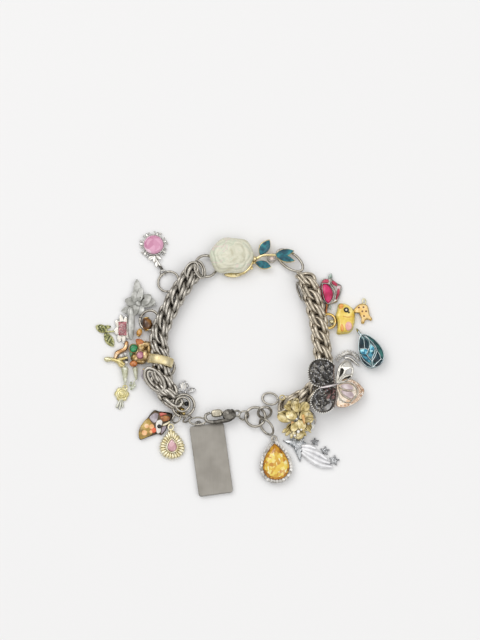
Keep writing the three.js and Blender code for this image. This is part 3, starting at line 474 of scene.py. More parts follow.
def flowing(points, count, closed=False):
    """Evenly spaced points on a smooth curve through a few."""
    points = np.asarray(points, float)
    size = len(points)
    ends = [2 * points[0] - points[1], *points, 2 * points[-1] - points[-2]]
    t = np.linspace(0, 1, 16, endpoint=False)[:, None]
    fine = []
    for i in range(size if closed else size - 1):
        a, b, c, d = (points[(i + k) % size] for k in (-1, 0, 1, 2)) if closed else ends[i:i + 4]
        fine.append(0.5 * (2 * b + (c - a) * t + (2 * a - 5 * b + 4 * c - d) * t**2
                           + (3 * b - 3 * c + d - a) * t**3))
    fine = np.concatenate(fine + [points[:1] if closed else points[-1:]])
    even = at_stops(fine, np.linspace(0, run_along(fine)[-1], count + 1 if closed else count))
    return even[:-1] if closed else even


def long_link(x, y, z, half_long, half_wide, wire, turn, roll):
    """A longer link of two wires side by side, where the chain opens towards its end."""
    a = round_turns(44)
    swing = Matrix.Rotation(math.radians(turn), 3, "Z") @ Matrix.Rotation(math.radians(roll), 3, "X")
    wires = []
    for side in (-0.5, 0.5):
        grow = side * wire * 0.9
        line = [(half_long + grow) * np.cos(a), (half_wide + grow) * np.sin(a),
                np.full(44, side * wire * 0.5)]
        wires.append(tube(np.column_stack(line), wire, 10, closed=True))
    points, faces = joined(wires)
    return points @ np.array(swing).T + (x, y, z), faces


def string_chain(name, thread, node, seed, metal):
    """A run of chain on a thread, whose end links reach just to the thread's ends."""
    line = flowing([(x, y, THREAD_HEIGHT) for x, y in thread], 120)
    long = run_along(line)[-1]
    inside = LINK_HALF_LONG + LINK_WIRE / 2
    line = at_stops(line, np.linspace(inside, long - inside, 120))
    curve = bpy.data.curves.new(name + "_thread", "CURVE")
    curve.dimensions = "3D"
    spline = curve.splines.new("POLY")
    spline.points.add(len(line) - 1)
    for point, spot in zip(spline.points, line * MM + DRAWN):
        point.co = (*spot, 1)
    mesh = grown(name, curve, string_of_links, Shape=link_shape, Lean=LINK_LEAN, Roll=LINK_ROLL,
                 Sway=LINK_SWAY, Links=round((long - 2 * inside) / LINK_PITCH) + 1, Seed=seed, Finish=metal)
    mesh.polygons.foreach_set("use_smooth", [True] * len(mesh.polygons))
    put(name, mesh, node)


link_shape = double_link()
string_of_links = build_string_of_links()
string_chain("chain_left", left_thread, "left_chain", 3, chain_silver)
piece("chain_left_long_links", [long_link(*row) for row in long_links], None, chain_silver)
string_chain("chain_left_outer", outer_thread, "left_chain", 11, chain_silver)
string_chain("chain_right", right_thread, "right_chain", 8, warm_silver)


# ---- jump rings ----
# Round-wire rings bent shut: each joins a charm to the chain, or one ring to the next. Silver, worn soft and
# grey, with a fine cut where each was closed; the one that holds the frog is gold.
RING_CUT = 0.12
ring_wires = [
    ("rose_ring", 1.25, 200), ("sun_ring", 1.0, 40), ("oval_link", 1.2, 70), ("stem_ring", 0.6, 10),
    ("side_ring", 0.9, 300), ("band_ring", 1.3, 150), ("orchid_ring", 1.2, 250), ("cluster_ring", 1.25, 320),
    ("inner_ring", 1.05, 95), ("pear_ring", 0.8, 20), ("swivel_ring", 0.8, 190), ("clasp_link", 0.8, 75),
    ("clasp_ring", 0.85, 130), ("end_ring", 1.25, 60), ("chain_end_ring", 1.25, 220),
    ("citrine_ring", 1.05, 20), ("loose_ring", 0.95, 170), ("hoop", 0.6, 280),
]
ring_silver = finish("ring_silver", "98938a b9b4aa", "57504a", 600, 0.9, 0.6, 0.16, 0.36, metallic=1)
warm_gold = finish("warm_gold", "d9b35c ecd08c", "7a4c16", 700, 0.9, 0.9, 0.14, 0.34, metallic=1)


def ring_on(node, wire, cut):
    """A round wire on the ring's own line: middle and two half-lengths are measured on the plain ring."""
    spots = np.array([corner.co for corner in bpy.data.objects[node].data.vertices]) / MM
    middle = (spots.min(0) + spots.max(0)) / 2
    across = np.linalg.svd(spots - spots.mean(0), full_matrices=False)[2]
    reach = np.abs((spots - middle) @ across[:2].T).max(0) - wire / 2
    gap = RING_CUT / reach.max()
    turns = math.radians(cut) + np.linspace(gap / 2, 2 * math.pi - gap / 2, 56)
    path = middle + np.outer(np.cos(turns) * reach[0], across[0]) + np.outer(np.sin(turns) * reach[1],
                                                                             across[1])
    return tube(path - DRAWN / MM, wire, 12, domed=False)


for node, wire, cut in ring_wires:
    piece(node + "_wire", [ring_on(node, wire, cut)], node, ring_silver)
piece("frog_ring_wire", [ring_on("frog_ring", 1.2, 160)], "frog_ring", warm_gold)


# ---- rose ----
# A flower carved from mother-of-pearl, set in a gold cup with gold sepals. Its gold stem carries three leaves
# of teal enamel and runs on to the oval link; a small pearl hangs in the wire ring on the stem.
rose_middle = (-3.5, 46.9)
rose_edge = [
    (-9.6, -0.3), (-6.4, -7.0), (0, -7.6), (5.4, -7.0), (9.0, -2.6), (9.6, 1.5), (6.8, 6.7), (1.5, 7.8),
    (-3.6, 7.9), (-8.0, 4.0),
]
# rows of petals from the outside in: edge as a share of the bloom, petals in the row, where the first one
# sits
rose_rows = [(0.84, 5, 10), (0.64, 5, 45), (0.46, 4, 80), (0.29, 3, 20), (0.14, 2, 60)]
rose_leaves = [
    (8.9, 47.6, 2.9, 57, 7.6, 4.2), (7.0, 44.2, 2.9, -17, 6.9, 3.4), (15.6, 47.5, 3.7, 11, 8.2, 3.0),
    (15.8, 46.9, 3.6, -15, 8.4, 2.8),
]
rose_sepals = [(1.8, 45.6, -48, 5.8), (1.8, 46.0, -14, 6.2), (-6.7, 39.1, 2, 8.2)]


def raised(line, z):
    """A flat line lifted to a height."""
    return np.column_stack([line, np.full(len(line), z)])


def branch(line, thick, sides=12):
    """A wire on a smooth line, with its thickness given at even steps along it."""
    return tube(flowing(line, 28), np.interp(np.linspace(0, 1, 28), np.linspace(0, 1, len(thick)), thick),
                sides)


def pad(edge, low, high, rows=9, plump=0.5, relief=None, foot=0.9):
    """A closed cushion on an outline round its zero: a short side, then a crown up to its middle."""
    edge = np.asarray(edge, float)
    belt = low + 0.25 * (high - low)
    rings = [raised(edge * foot, low), raised(edge, belt)]
    for k in range(1, rows):
        a = 0.5 * math.pi * k / rows
        share = math.cos(a) ** plump
        ring = raised(edge * share, belt + (high - belt) * math.sin(a))
        if relief:
            ring[:, 2] += relief(ring[:, 0], ring[:, 1], share)
        rings.append(ring)
    crown = high + (relief(np.zeros(1), np.zeros(1), 0)[0] if relief else 0)
    return skinned(rings, tips=[(0, 0, low), (0, 0, crown)])


def leaf(long, wide, thick=1.0, lift=0.0, cup=0.0, crease=0.0, ribs=0, rib_high=0.12, blunt=0.8, fat=0.5,
         low=0.0, rows=14, sides=16):
    """A petal or leaf along X from its zero, with a rounded section. Fat is where it is widest along its
    length; lift raises its tip, cup its sides, and crease sinks its middle."""
    power = math.log(0.5) / math.log(fat)
    a = round_turns(sides)
    v = np.cos(a)
    rings = []
    for k in range(1, rows):
        u = 0.5 - 0.5 * math.cos(math.pi * k / rows)
        half = wide / 2 * math.sin(math.pi * u ** power) ** blunt
        body = thick * min(1, 2.2 * math.sin(math.pi * u) ** 0.5) * (1 - 0.35 * u)
        z = low + thick / 2 + lift * u * u + cup * v * v - crease * (1 - np.abs(v)) * math.sin(math.pi * u)
        z = z + body / 2 * np.sin(a)
        if ribs:
            z = z + np.where(np.sin(a) > 0.1, rib_high * np.cos(ribs * math.pi * v) * math.sin(math.pi * u),
                             0)
        rings.append(np.column_stack([np.full(sides, long * u), half * v, z]))
    return skinned(rings, tips=[(0, 0, low + thick / 2), (long, 0, low + thick / 2 + lift)])


def ball(x, y, z, radius, squash=(1, 1, 1), rows=8, sides=14):
    work = bmesh.new()
    bmesh.ops.create_uvsphere(work, u_segments=sides, v_segments=rows, radius=radius)
    points = np.array([corner.co for corner in work.verts]) * squash + (x, y, z)
    faces = [tuple(corner.index for corner in face.verts) for face in work.faces]
    work.free()
    return points, faces


def oval(across, tall, count=40):
    a = round_turns(count)
    return np.column_stack([np.cos(a) * across / 2, np.sin(a) * tall / 2])


def dome(x, y, across, tall, low, high, rows, plump, count, turn=0):
    """A pad on an oval."""
    return turned(pad(oval(across, tall, count), low, high, rows, plump), x, y, turn)


def loop(x, y, z, half_x, half_y, wire, turn=0.0, lean=None, count=28):
    """A small closed wire ring."""
    line = raised(oval(2 * half_x, 2 * half_y, count), 0)
    return turned(tube(line, wire, 8, closed=True), x, y, turn, z, lean)


def carved(x, y, share):
    """The carving of the rose: each row of petals stands above the next, with a scalloped edge."""
    angle = np.arctan2(y, x)
    rise = np.zeros_like(x)
    for edge, petals, first in rose_rows:
        scallop = np.abs(np.cos(petals / 2 * (angle - math.radians(first))))
        rim = edge * (0.90 + 0.12 * scallop)
        step = np.clip((rim - share) / 0.05, 0, 1)
        rise += 0.34 * step * step * (3 - 2 * step) - 0.26 * np.exp(-((share - rim - 0.03) / 0.035) ** 2)
        rise -= 0.10 * np.exp(-((scallop - 0.02) / 0.2) ** 2) * np.clip((rim - share) / 0.05, 0, 1)
    return rise * 0.8


def shell_finish():
    """Mother-of-pearl: warm white with slow bands of pale green and pink under a clear polish."""
    material, tree, shader = new_material("mother_of_pearl")
    where = add(tree, "ShaderNodeTexCoord")
    bands = add(tree, "ShaderNodeTexNoise", {"Scale": 130, "Detail": 4, "Distortion": 1.6})
    join(tree, (where, "Object", bands, "Vector"))
    stops = [(0.28, "bdb79f"), (0.40, "cfceb8"), (0.50, "dcd9c6"), (0.58, "c9d0ba"), (0.66, "dccfc4"),
             (0.76, "cfcab4")]
    coloured(tree, shader, bands, "Fac", [(place, *tone(code)) for place, code in stops], "8d8264",
             {"Reach": 0.8 * MM, "Strength": 0.55, "Cloud Scale": 500}, {"Smooth": 0.22, "Worn": 0.4}, 0.05,
             Coat_Weight=0.3, Coat_Roughness=0.16)
    return material


pale_gold = finish("pale_gold", "d8c48c eee0b4", "7d5a24", 700, 0.9, 0.9, 0.14, 0.34, metallic=1)
teal_enamel = finish("teal_enamel", "033c4c 085868 26828a", "022a36", 500, 0.7, 0.9, 0.05, 0.2, coat=0.3,
                     shine=0.35)
pearl_skin = finish("pearl_skin", "e0c9bf f0e2da", "9a7f74", 400, 0.9, 0.5, 0.12, 0.22, coat=0.7)

bloom = pad(flowing(rose_edge, 96, True), 3.0, 7.4, 26, 0.55, carved)
piece("rose_bloom_carving", [bloom], "rose_bloom", shell_finish(), rose_middle)

cup = turned(pad(oval(13.0, 11.6, 60) * (1 + 0.04 * np.cos(np.arange(60)[:, None] * math.pi / 2.5)),
                 0.15, 3.2, 8, 0.45), -2.6, 45.4)
sepals = [turned(leaf(long, 2.9, 1.0, lift=0.3, crease=0.2, blunt=0.55, low=1.2), x, y, turn)
          for x, y, turn, long in rose_sepals]
stem = tube(flowing([(3.0, 46.0, 2.2), (7.0, 45.9, 2.8), (10.0, 47.2, 3.4), (13.0, 47.4, 3.8),
                     (16.8, 47.3, 3.8)], 30), np.linspace(1.5, 1.0, 30), 10)
knot = ball(6.4, 45.9, 3.0, 1.3, (1.1, 0.9, 0.8))
leaf_rims = [turned(leaf(long + 0.5, wide + 0.5, 0.9, low=low - 0.2), x - 0.2, y, turn)
             for x, y, low, turn, long, wide in rose_leaves]
brim = branch([(-1.4, 38.9, 1.9), (1.6, 39.9, 2.2), (4.3, 42.2, 2.5), (5.6, 44.6, 2.7)],
              [1.0, 1.9, 1.7, 1.2], 10)
piece("rose_gold_work", [cup, *sepals, brim, stem, knot, *leaf_rims], "rose_setting", pale_gold)
enamel = [turned(leaf(long, wide, 1.0, crease=0.35, ribs=3, low=low + 0.15, rows=18, sides=24), x, y, turn)
          for x, y, low, turn, long, wide in rose_leaves]
piece("rose_leaf_enamel", enamel, None, teal_enamel)
pearl_at = (pearl_low + pearl_high) / 2 / MM
piece("rose_pearl_bead", [ball(*PEARL_DRAWN, pearl_at.z, 1.1, rows=12, sides=20)], "rose_pearl",
      pearl_skin)


# ---- pink stone in a sunburst ----
# An oval pink cabochon in a thin silver rim, with short cast rays that end in balls. Its stem is wrapped with
# dark wire above the eye that takes its jump ring.
SUN_MIDDLE = (-37.4, 52.3)
SUN_RAYS = 14
SUN_STONE_ACROSS = 8.6

bright_silver = finish("bright_silver", "c6c3bd e2e0db", "77726a", 600, 0.8, 0.8, 0.12, 0.3, metallic=1)
dark_silver = finish("dark_silver", "4a4844 8a867d", "1d1b18", 500, 0.8, 1.0, 0.2, 0.4, metallic=1)


def glassy(name, tones, shade_and_tarnish_tone, cells=450.0, coat=0.6, inner=0.0):
    """Cut stone: painted flashes of reflected light, lighter and deeper tone from cell to cell, and painted
    shade in its crevices, under a hard polish.
    """
    material, tree, shader = new_material(name)
    where = add(tree, "ShaderNodeTexCoord")
    flash_cells = add(tree, "ShaderNodeTexVoronoi", {"Scale": cells})
    split = add(tree, "ShaderNodeSeparateColor")
    join(tree, (where, "Object", flash_cells, "Vector"), (flash_cells, "Color", split, "Color"))
    coloured(tree, shader, split, "Red", even_stops(tones, 0.08, 0.84), shade_and_tarnish_tone,
             {"Reach": 0.2 * MM, "Strength": 0.5}, {"Smooth": 0.04, "Worn": 0.14},
             Coat_Weight=coat, Transmission_Weight=inner)
    return material


def rays_round(count, inner, outer, ball_radius, z, wire=0.5):
    shapes = []
    for i in range(count):
        turn = 360 * i / count + 8
        far = outer - (0.35 if i % 3 == 1 else 0)
        ray = tube([(inner, 0, z), ((inner + far) / 2, 0, z + 0.15), (far, 0, z)], [wire * 1.5, wire,
                                                                                    wire * 0.8], 8)
        shapes += [turned(ray, turn=turn), turned(ball(far, 0, z, ball_radius * (0.85 if i % 2 else 1.1)),
                                                  turn=turn)]
    return shapes


plate = pad(oval(9.6, 9.4, 48), 0.15, 1.5, 5, 0.25)
rim = tube(raised(oval(9.1, 8.9, 48), 1.75), 0.5, 8, closed=True)
prongs = [turned(ball(4.1, 0, 2.1, 0.42, (1.6, 0.8, 0.8)), turn=a) for a in (45, 135, 225, 315)]
skirt = [turned(leaf(2.0, 1.1, 0.5, lift=-0.3, low=0.6), 4.3 * math.cos(a), 4.3 * math.sin(a),
                math.degrees(a)) for a in np.radians(np.arange(7) * 360 / 7 + 20)]
bail = tube(flowing([(0.4, -4.6, 0.9), (1.4, -6.8, 1.0), (2.8, -9.0, 1.3), (3.7, -11.2, 1.6)], 16), 1.0, 10)
lower_leaves = [turned(leaf(3.4, 1.9, 0.8, lift=0.4, low=0.6), x, y, turn)
                for x, y, turn in ((0.2, -4.4, -140), (0.6, -4.6, -95), (0.9, -4.3, -40), (1.8, -6.6, -100))]
eye = loop(4.15, -12.3, 1.7, 1.3, 1.3, 0.7, 30, ("X", 50))
sun_work = [plate, rim, *prongs, *skirt, *rays_round(SUN_RAYS, 4.6, 6.0, 0.42, 0.9, 0.4), bail,
            *lower_leaves, eye]
piece("sun_silver", sun_work, "sun_setting", bright_silver, SUN_MIDDLE)
wraps = [turned(loop(0, 0, 0, 0.75, 0.75, 0.42, lean=("X", 90)), 3.0 + 0.28 * k, -9.6 - 0.55 * k, -22,
                1.4 + 0.1 * k) for k in range(4)]
piece("sun_wraps", wraps, None, dark_silver, SUN_MIDDLE)
rose_pink = glassy("rose_pink_stone", "c884a4 d99cba e8b4cc f4d2e0", "8c4c6c", 300)
stone = pad(oval(SUN_STONE_ACROSS, SUN_STONE_ACROSS * 0.97, 48), 1.6, 4.0, 12, 0.62)
piece("sun_cabochon", [stone], "sun_stone", rose_pink, SUN_MIDDLE)


# ---- lobster clasp ----
# A cast silver hook with a rounded root between two cheeks; its lower bar, the cheeks and the back wall are
# painted dark as shade. A small sprung lever with a bright thumb plate turns on a pin through the cheeks and
# closes the hook.
CLASP_AT = (-15.2, -27.4, 8, 3.9)
hook_line = [(12.6, 1.4, 0), (11.0, 0.6, 0), (8.0, 0.35, 0), (4.5, 0.4, 0), (2.0, 0.9, 0), (0.9, 2.3, 0),
             (1.2, 3.9, 0), (2.9, 4.6, 0)]
hook_thick = [1.7, 2.1, 1.9, 1.7, 1.6, 1.45, 1.35, 1.1]

clasp_silver = finish("clasp_silver", "68645d b9b5ad", "201d1a", 420, 1.6, 1.3, 0.12, 0.3, metallic=1)
lever_steel = finish("lever_steel", "aaa290 c9c2b0", "6a6558", 600, 0.6, 0.6, 0.16, 0.3, metallic=1)


along = flowing(hook_line, 44)
thick = np.interp(np.linspace(0, 1, 44), np.linspace(0, 1, len(hook_thick)), hook_thick)
bar = tube(along[:25], thick[:25], 14)
nose = tube(along[23:], thick[23:], 14)
cheek = pad(oval(5.2, 4.8, 40), 0, 0.62, 5, 0.3)
upper = turned(cheek, 10.9, 2.6, 0, 0.67)
lower = (np.array(cheek[0]) * (1, 1, -1) + (10.9, 2.6, -0.67), cheek[1])
back_wall = tube(flowing([(10.6, 0.5, 0), (12.8, 1.2, 0), (13.5, 2.8, 0), (12.6, 4.4, 0)], 20), 1.5, 10)
pin_head = turned(pad(oval(1.3, 1.3, 20), 0, 0.2, 4, 0.4), 10.6, 3.5, 0, 1.2)
eye = loop(14.6, 2.8, 0, 1.3, 1.2, 0.95)
# The bar, cheeks and back wall take a darker silver: painted shade.
bar_shade_silver = finish("clasp_bar_painted_shade", "383531 86827b", "0c0b0a", 420, 1.6, 1.2, 0.16, 0.34, metallic=1)
piece("clasp_bar", [bar, upper, lower, back_wall], "clasp_body", bar_shade_silver, CLASP_AT)
piece("clasp_nose", [nose, pin_head, eye], None, clasp_silver, CLASP_AT)
arm = dome(6.7, 4.05, 7.0, 1.3, -0.5, 0.45, 6, 0.3, 40, -2)
root = dome(10.6, 3.5, 2.3, 2.3, -0.5, 0.5, 5, 0.3, 24)
ridges = [tube([(x, 2.95, 1.08), (x, 4.95, 1.08)], 0.3, 8) for x in (4.9, 5.6, 6.3, 7.0)]
thumb = turned(pad(flowing([(-2.0, -1.4), (2.0, -1.4), (2.0, 1.4), (-2.0, 1.4)], 40, True), -0.5, 1.15, 6,
                   0.3), 6.0, 4.0, -2)
piece("clasp_thumb_lever", [arm, root, thumb, *ridges], "clasp_lever", lever_steel, CLASP_AT,
      "lever")


# ---- steel tag ----
# A plain rectangular plate of brushed steel with softly broken edges and rounded corners, hung by a small
# loop at its top edge. Its face is bare.
TAG_TURN = 7.9
TAG_AT = (-12.2, -42.4, TAG_TURN)
TAG_WIDE, TAG_LONG, TAG_THICK = 14.9, 30.8, 2.0
TAG_CORNER = 1.3


def brushed_steel():
    """Brushed steel: fine scratches along the plate's length, cloudy with handling."""
    material, tree, shader = new_material("brushed_steel")
    where = add(tree, "ShaderNodeTexCoord")
    laid = add(tree, "ShaderNodeMapping", {"Rotation": (0, 0, math.radians(-TAG_TURN)), "Scale": (1, 0.03,
                                                                                                  1)})
    scratches = add(tree, "ShaderNodeTexNoise", {"Scale": 5200, "Detail": 4})
    cloud = add(tree, "ShaderNodeTexNoise", {"Scale": 90, "Detail": 3})
    ramp = ramp_of(tree, [(0.36, *tone("8c8881")), (0.66, *tone("9c9891"))])
    shade = add(tree, "ShaderNodeMapRange", {"From Min": 0.3, "From Max": 0.7, "To Min": 0.34,
                                             "To Max": 0.52})
    bump = add(tree, "ShaderNodeBump", {"Strength": 0.12, "Distance": 0.05 * MM})
    join(tree, (where, "Object", laid, "Vector"), (laid, "Vector", scratches, "Vector"),
         (where, "Object", cloud, "Vector"), (cloud, "Fac", ramp, "Fac"),
         (ramp, "Color", shader, "Base Color"), (scratches, "Fac", shade, "Value"),
         (shade, "Result", shader, "Roughness"), (scratches, "Fac", bump, "Height"),
         (bump, "Normal", shader, "Normal"))
    shader.inputs["Metallic"].default_value = 1
    return material


def plate_outline(wide, long, corner, steps=8):
    line = []
    for sx, sy, first in ((1, 1, 0), (-1, 1, 90), (-1, -1, 180), (1, -1, 270)):
        middle = np.array((sx * (wide / 2 - corner), sy * (long / 2 - corner)))
        for a in np.radians(first + 90 * np.arange(steps + 1) / steps):
            line.append(middle + (corner * math.cos(a), corner * math.sin(a)))
    return np.array(line)


def broken_plate(wide, long, corner, thick, edge=0.22):
    """A flat plate whose edges are rounded off a little, top and bottom."""
    levels = [(0, edge), (edge * 0.3, edge * 0.3), (edge, 0), (thick - edge, 0), (thick - edge * 0.3,
                                                                                  edge * 0.3), (thick, edge)]
    return skinned([raised(plate_outline(wide - 2 * cut, long - 2 * cut, corner - cut * 0.5), z)
                    for z, cut in levels])


tag_plate = broken_plate(TAG_WIDE, TAG_LONG, TAG_CORNER, TAG_THICK)
tag_loop = loop(-3.4, TAG_LONG / 2 + 0.7, 1.2, 1.1, 1.1, 0.8)
piece("tag_plate", [tag_plate, tag_loop], "steel_tag", brushed_steel(), TAG_AT, smooth=False)


# ---- silver orchid and amber beads ----
# A frosted, faintly clear silver-white orchid lying on its back: upright petal, side petals, a lip and a long
# flat stem, with dark pips. Two glossy amber beads in gold caps hang in the ring beside it.
orchid_petals = [
    ((-44.1, 26.7), 93, 10.4, 3.6, 0.9), ((-43.7, 26.7), 80, 6.8, 2.8, 1.4),
    ((-45.0, 26.3), 98, 5.6, 3.4, 1.0), ((-43.7, 25.4), 42, 7.0, 4.8, 0.9),
    ((-43.7, 25.9), 12, 7.4, 4.6, 0.8), ((-43.3, 26.4), -4, 7.0, 3.0, 0.6),
    ((-43.5, 25.9), 163, 6.6, 4.4, 0.9), ((-43.3, 24.6), 192, 8.2, 4.0, 0.7),
    ((-43.9, 25.4), 226, 6.4, 4.6, 1.3), ((-43.7, 25.8), 280, 4.6, 4.4, 1.0),
]
frosted = finish("frosted_silver", "85857f a9a9a4 c8c8c4", "484742", 330, 1.5, 0.95, 0.26, 0.46, 0.1, 0.45,
                 coat=0.2)
amber_dark = finish("amber_dark", "2e1c0c 5e3a14 8a5c22", "160d05", 380, 0.7, 0.9, 0.03, 0.12, coat=0.4)
amber_gold = finish("amber_gold", "8a5a1c c48a30 e0b060", "3e260b", 380, 0.7, 0.9, 0.03, 0.12, coat=1)
petals = [turned(leaf(long, wide, 0.9, lift=0.3, cup=0.3, crease=0.15, ribs=2, rib_high=0.06, blunt=0.65,
                      low=low), x, y, turn) for (x, y), turn, long, wide, low in orchid_petals]
throat = dome(-44.0, 26.2, 3.2, 3.2, 0.15, 2.9, 7, 0.6, 24)
stem_leaf = turned(leaf(15.0, 3.0, 1.2, lift=0.2, crease=-0.2, ribs=3, rib_high=0.08, blunt=0.3, low=1.3),
                   -46.9, 25.0, -91)
piece("orchid_petals", [*petals, throat, stem_leaf], "orchid", frosted)
orchid_pips = [(-43.1, 28.8), (-42.3, 28.3), (-41.7, 28.7), (-42.6, 27.4), (-45.2, 23.4), (-44.1, 22.5),
               (-42.8, 22.5), (-41.7, 21.6), (-48.0, 14.3), (-47.4, 12.1)]
piece("orchid_pips", [ball(x, y, 1.9 if y > 28 else 1.5, 0.42) for x, y in orchid_pips], None,
      dark_silver)


def bead_with_caps(node, radius, material, at):
    stone = ball(0, 0, 0, radius, (0.98, 1.3, 0.9), 16, 24)
    caps = [loop(0, side * radius * 1.16, 0, radius * 0.5, radius * 0.45, 0.4, lean=("X", 90))
            for side in (-1, 1)]
    piece(node + "_stone", [stone], node, material, at)
    piece(node + "_caps", caps, None, warm_gold, at)


bead_with_caps("amber_bead_1", 2.35, amber_dark, (-40.1, 17.0, 10, 2.35))
bead_with_caps("amber_bead_2", 1.3, amber_gold, (-43.5, 13.4, -20, 1.5))


# ---- daisy ----
# White enamel petals in thin silver rims round a long heart set with dark-pink stones.
DAISY_AT = (-50.8, 15.1)
DAISY_PETALS = 8
white_enamel = finish("white_enamel", "e6e0d2 f3efe6", "9c9486", 500, 0.6, 0.7, 0.06, 0.2, coat=1)
deep_pink = glassy("deep_pink_stone", "84303e b4505e cf7f88", "4c1a22", 900)


def cut_stone():
    """A small cut stone: girdle, crown and flat table, one millimetre across."""
    rings = []
    for radius, z, step in ((0.42, -0.30, 0), (0.5, 0, 0), (0.5, 0.06, 0), (0.28, 0.24, 0.5)):
        a = (np.arange(8) + step) * math.pi / 4
        rings.append(np.stack([radius * np.cos(a), radius * np.sin(a), np.full(8, z)], 1) * MM)
    return bpy.data.objects.new("cut_stone", make_mesh("cut_stone", *skinned(rings), smooth=False))


def grain_ball():
    """A small round grain of metal, one millimetre across."""
    work = bmesh.new()
    bmesh.ops.create_icosphere(work, subdivisions=2, radius=0.5 * MM)
    shape = bpy.data.meshes.new("grain_ball")
    work.to_mesh(shape)
    work.free()
    shape.polygons.foreach_set("use_smooth", [True] * len(shape.polygons))
    return bpy.data.objects.new("grain_ball", shape)


def build_setting_of_stones():
    """Geometry nodes: one stone on every marked spot, sized by the mark and turned at random."""
    tree, given, result = geometry_tree("setting_of_stones", "Spots", [("Tilt", "Float", 0.2)])
    spots = add(tree, "GeometryNodeMeshToPoints")
    across = add(tree, "GeometryNodeInputNamedAttribute", {"Name": "across"}, data_type="FLOAT")
    sway = add(tree, "FunctionNodeRandomValue", data_type="FLOAT_VECTOR")
    most = add(tree, "ShaderNodeCombineXYZ", {"Z": 3.0})
    least = add(tree, "ShaderNodeCombineXYZ")
    less = add(tree, "ShaderNodeMath", {1: -1}, operation="MULTIPLY")
    to_turn = add(tree, "FunctionNodeEulerToRotation")
    copies = copies_on(tree, given, result, spots, to_turn)
    join(tree, (given, "Spots", spots, "Mesh"), (given, "Tilt", less, 0), (given, "Tilt", most, "X"),
         (given, "Tilt", most, "Y"), (less, 0, least, "X"), (less, 0, least, "Y"), (most, "Vector", sway,
                                                                                    "Max"), (least, "Vector",
                                                                                             sway, "Min"),
         (given, "Seed", sway, "Seed"), (sway, "Value", to_turn, "Euler"), (across, "Attribute", copies,
                                                                            "Scale"))
    return tree


stone_shape, grain_shape = cut_stone(), grain_ball()
setting_of_stones = build_setting_of_stones()


def set_stones(name, spots, shape, material, seed, tilt=0.2, at=()):
    """Stones or grains on spots of (x, y, z, across), set down at a place."""
    marks = bpy.data.meshes.new(name + "_marks")
    places = turned((np.array(spots)[:, :3], []), *at)[0] * MM + DRAWN
    marks.from_pydata([tuple(place) for place in places], [], [])
    across = marks.attributes.new("across", "FLOAT", "POINT")
    across.data.foreach_set("value", [spot[3] for spot in spots])
    mesh = grown(name, marks, setting_of_stones, Shape=shape, Tilt=tilt, Seed=seed, Finish=material)
    put(name, mesh, None)


def inside(outline, x, y):
    """Whether a spot lies in an outline: a line from it crosses the edge an odd number of times."""
    hit = False
    for (ax, ay), (bx, by) in zip(outline, np.roll(outline, -1, 0)):
        if (ay > y) != (by > y) and x < (bx - ax) * (y - ay) / (by - ay) + ax:
            hit = not hit
    return hit


def spread(outline, pitch, height, across):
    """Spots in close rows within an outline."""
    outline = np.asarray(outline, float)
    low, high = outline.min(0), outline.max(0)
    spots = []
    for row, y in enumerate(np.arange(low[1] + pitch / 2, high[1], pitch * 0.87)):
        for x in np.arange(low[0] + pitch * (0.5 if row % 2 else 0.1), high[0], pitch):
            if inside(outline, x, y):
                spots.append((x, y, height, across))
    return spots


rims, cells = [], []
for i in range(DAISY_PETALS):
    turn = 360 * i / DAISY_PETALS + 12
    for made, grow, low in ((rims, 0.35, 0.4), (cells, -0.2, 0.85)):
        points, faces = turned(leaf(4.3 + grow, 2.5 + grow, 0.8, blunt=0.5, fat=0.58, low=low), turn=turn)
        made.append((points * (0.82, 1.42, 1), faces))
heart = pad(flowing([(-1.6, -2.9), (1.6, -2.9), (1.6, 2.9), (-1.6, 2.9)], 40, True), 0.15, 2.1, 6, 0.3)
piece("daisy_rims", rims + [heart], "daisy", bright_silver, DAISY_AT)
piece("daisy_petals", cells, None, white_enamel, DAISY_AT)
heart_line = np.array([(-1.6, -3.0), (1.6, -3.0), (1.6, 3.0), (-1.6, 3.0)]) + DAISY_AT
set_stones("daisy_stones", spread(heart_line, 0.62, 2.05, 0.62), stone_shape, deep_pink, 4)


# ---- leaf spray ----
# Three gold-green leaves paved with small olive and dark stones, on one short stalk.
spray_leaves = [
    ((-57.4, 14.2), 156, 5.6, 3.6, 1), ((-59.6, 15.7), 8, 3.9, 1.7, 2), ((-58.5, 13.5), -58, 7.3, 3.8, 3),
]
olive_gold = finish("olive_gold", "a09c60 c6c48a dcdab0", "54522c", 600, 0.6, 0.8, 0.2, 0.4, metallic=0.7)
olive_stone = glassy("olive_stone", "4c542c 8c9050 bcbc7c dedeb0", "22260f", 900)
dark_green = glassy("dark_green_stone", "1d2414 3c4726 5d6838", "0e120a", 900)
shapes, olive_spots, dark_spots = [], [], []
for (x, y), turn, long, wide, which in spray_leaves:
    shapes.append(turned(leaf(long, wide, 1.2, crease=0.2, blunt=0.7, low=0.15), x, y, turn))
    line = leaf(long * 0.92, wide * 0.78, 1.0)[0][:, :2] + (long * 0.03, 0)
    hull = turned((raised(line, 0), []), x, y, turn)[0][:, :2]
    edge = hull[[k * 16 for k in range(13)] + [k * 16 + 8 for k in range(12, -1, -1)]]
    for k, (sx, sy, sz, across) in enumerate(spread(edge, 0.72, 1.28, 0.68)):
        (dark_spots if (k * 7 + which) % 5 < 2 else olive_spots).append((sx, sy, sz, across))
stalk = tube(flowing([(-58.8, 13.9, 0.9), (-56.6, 13.9, 1.0), (-54.6, 14.1, 1.1)], 12), 0.8, 8)
piece("spray_leaves", shapes + [stalk], "leaf_spray", olive_gold)
set_stones("spray_olive_stones", olive_spots, stone_shape, olive_stone, 6)
set_stones("spray_dark_stones", dark_spots, stone_shape, dark_green, 7)


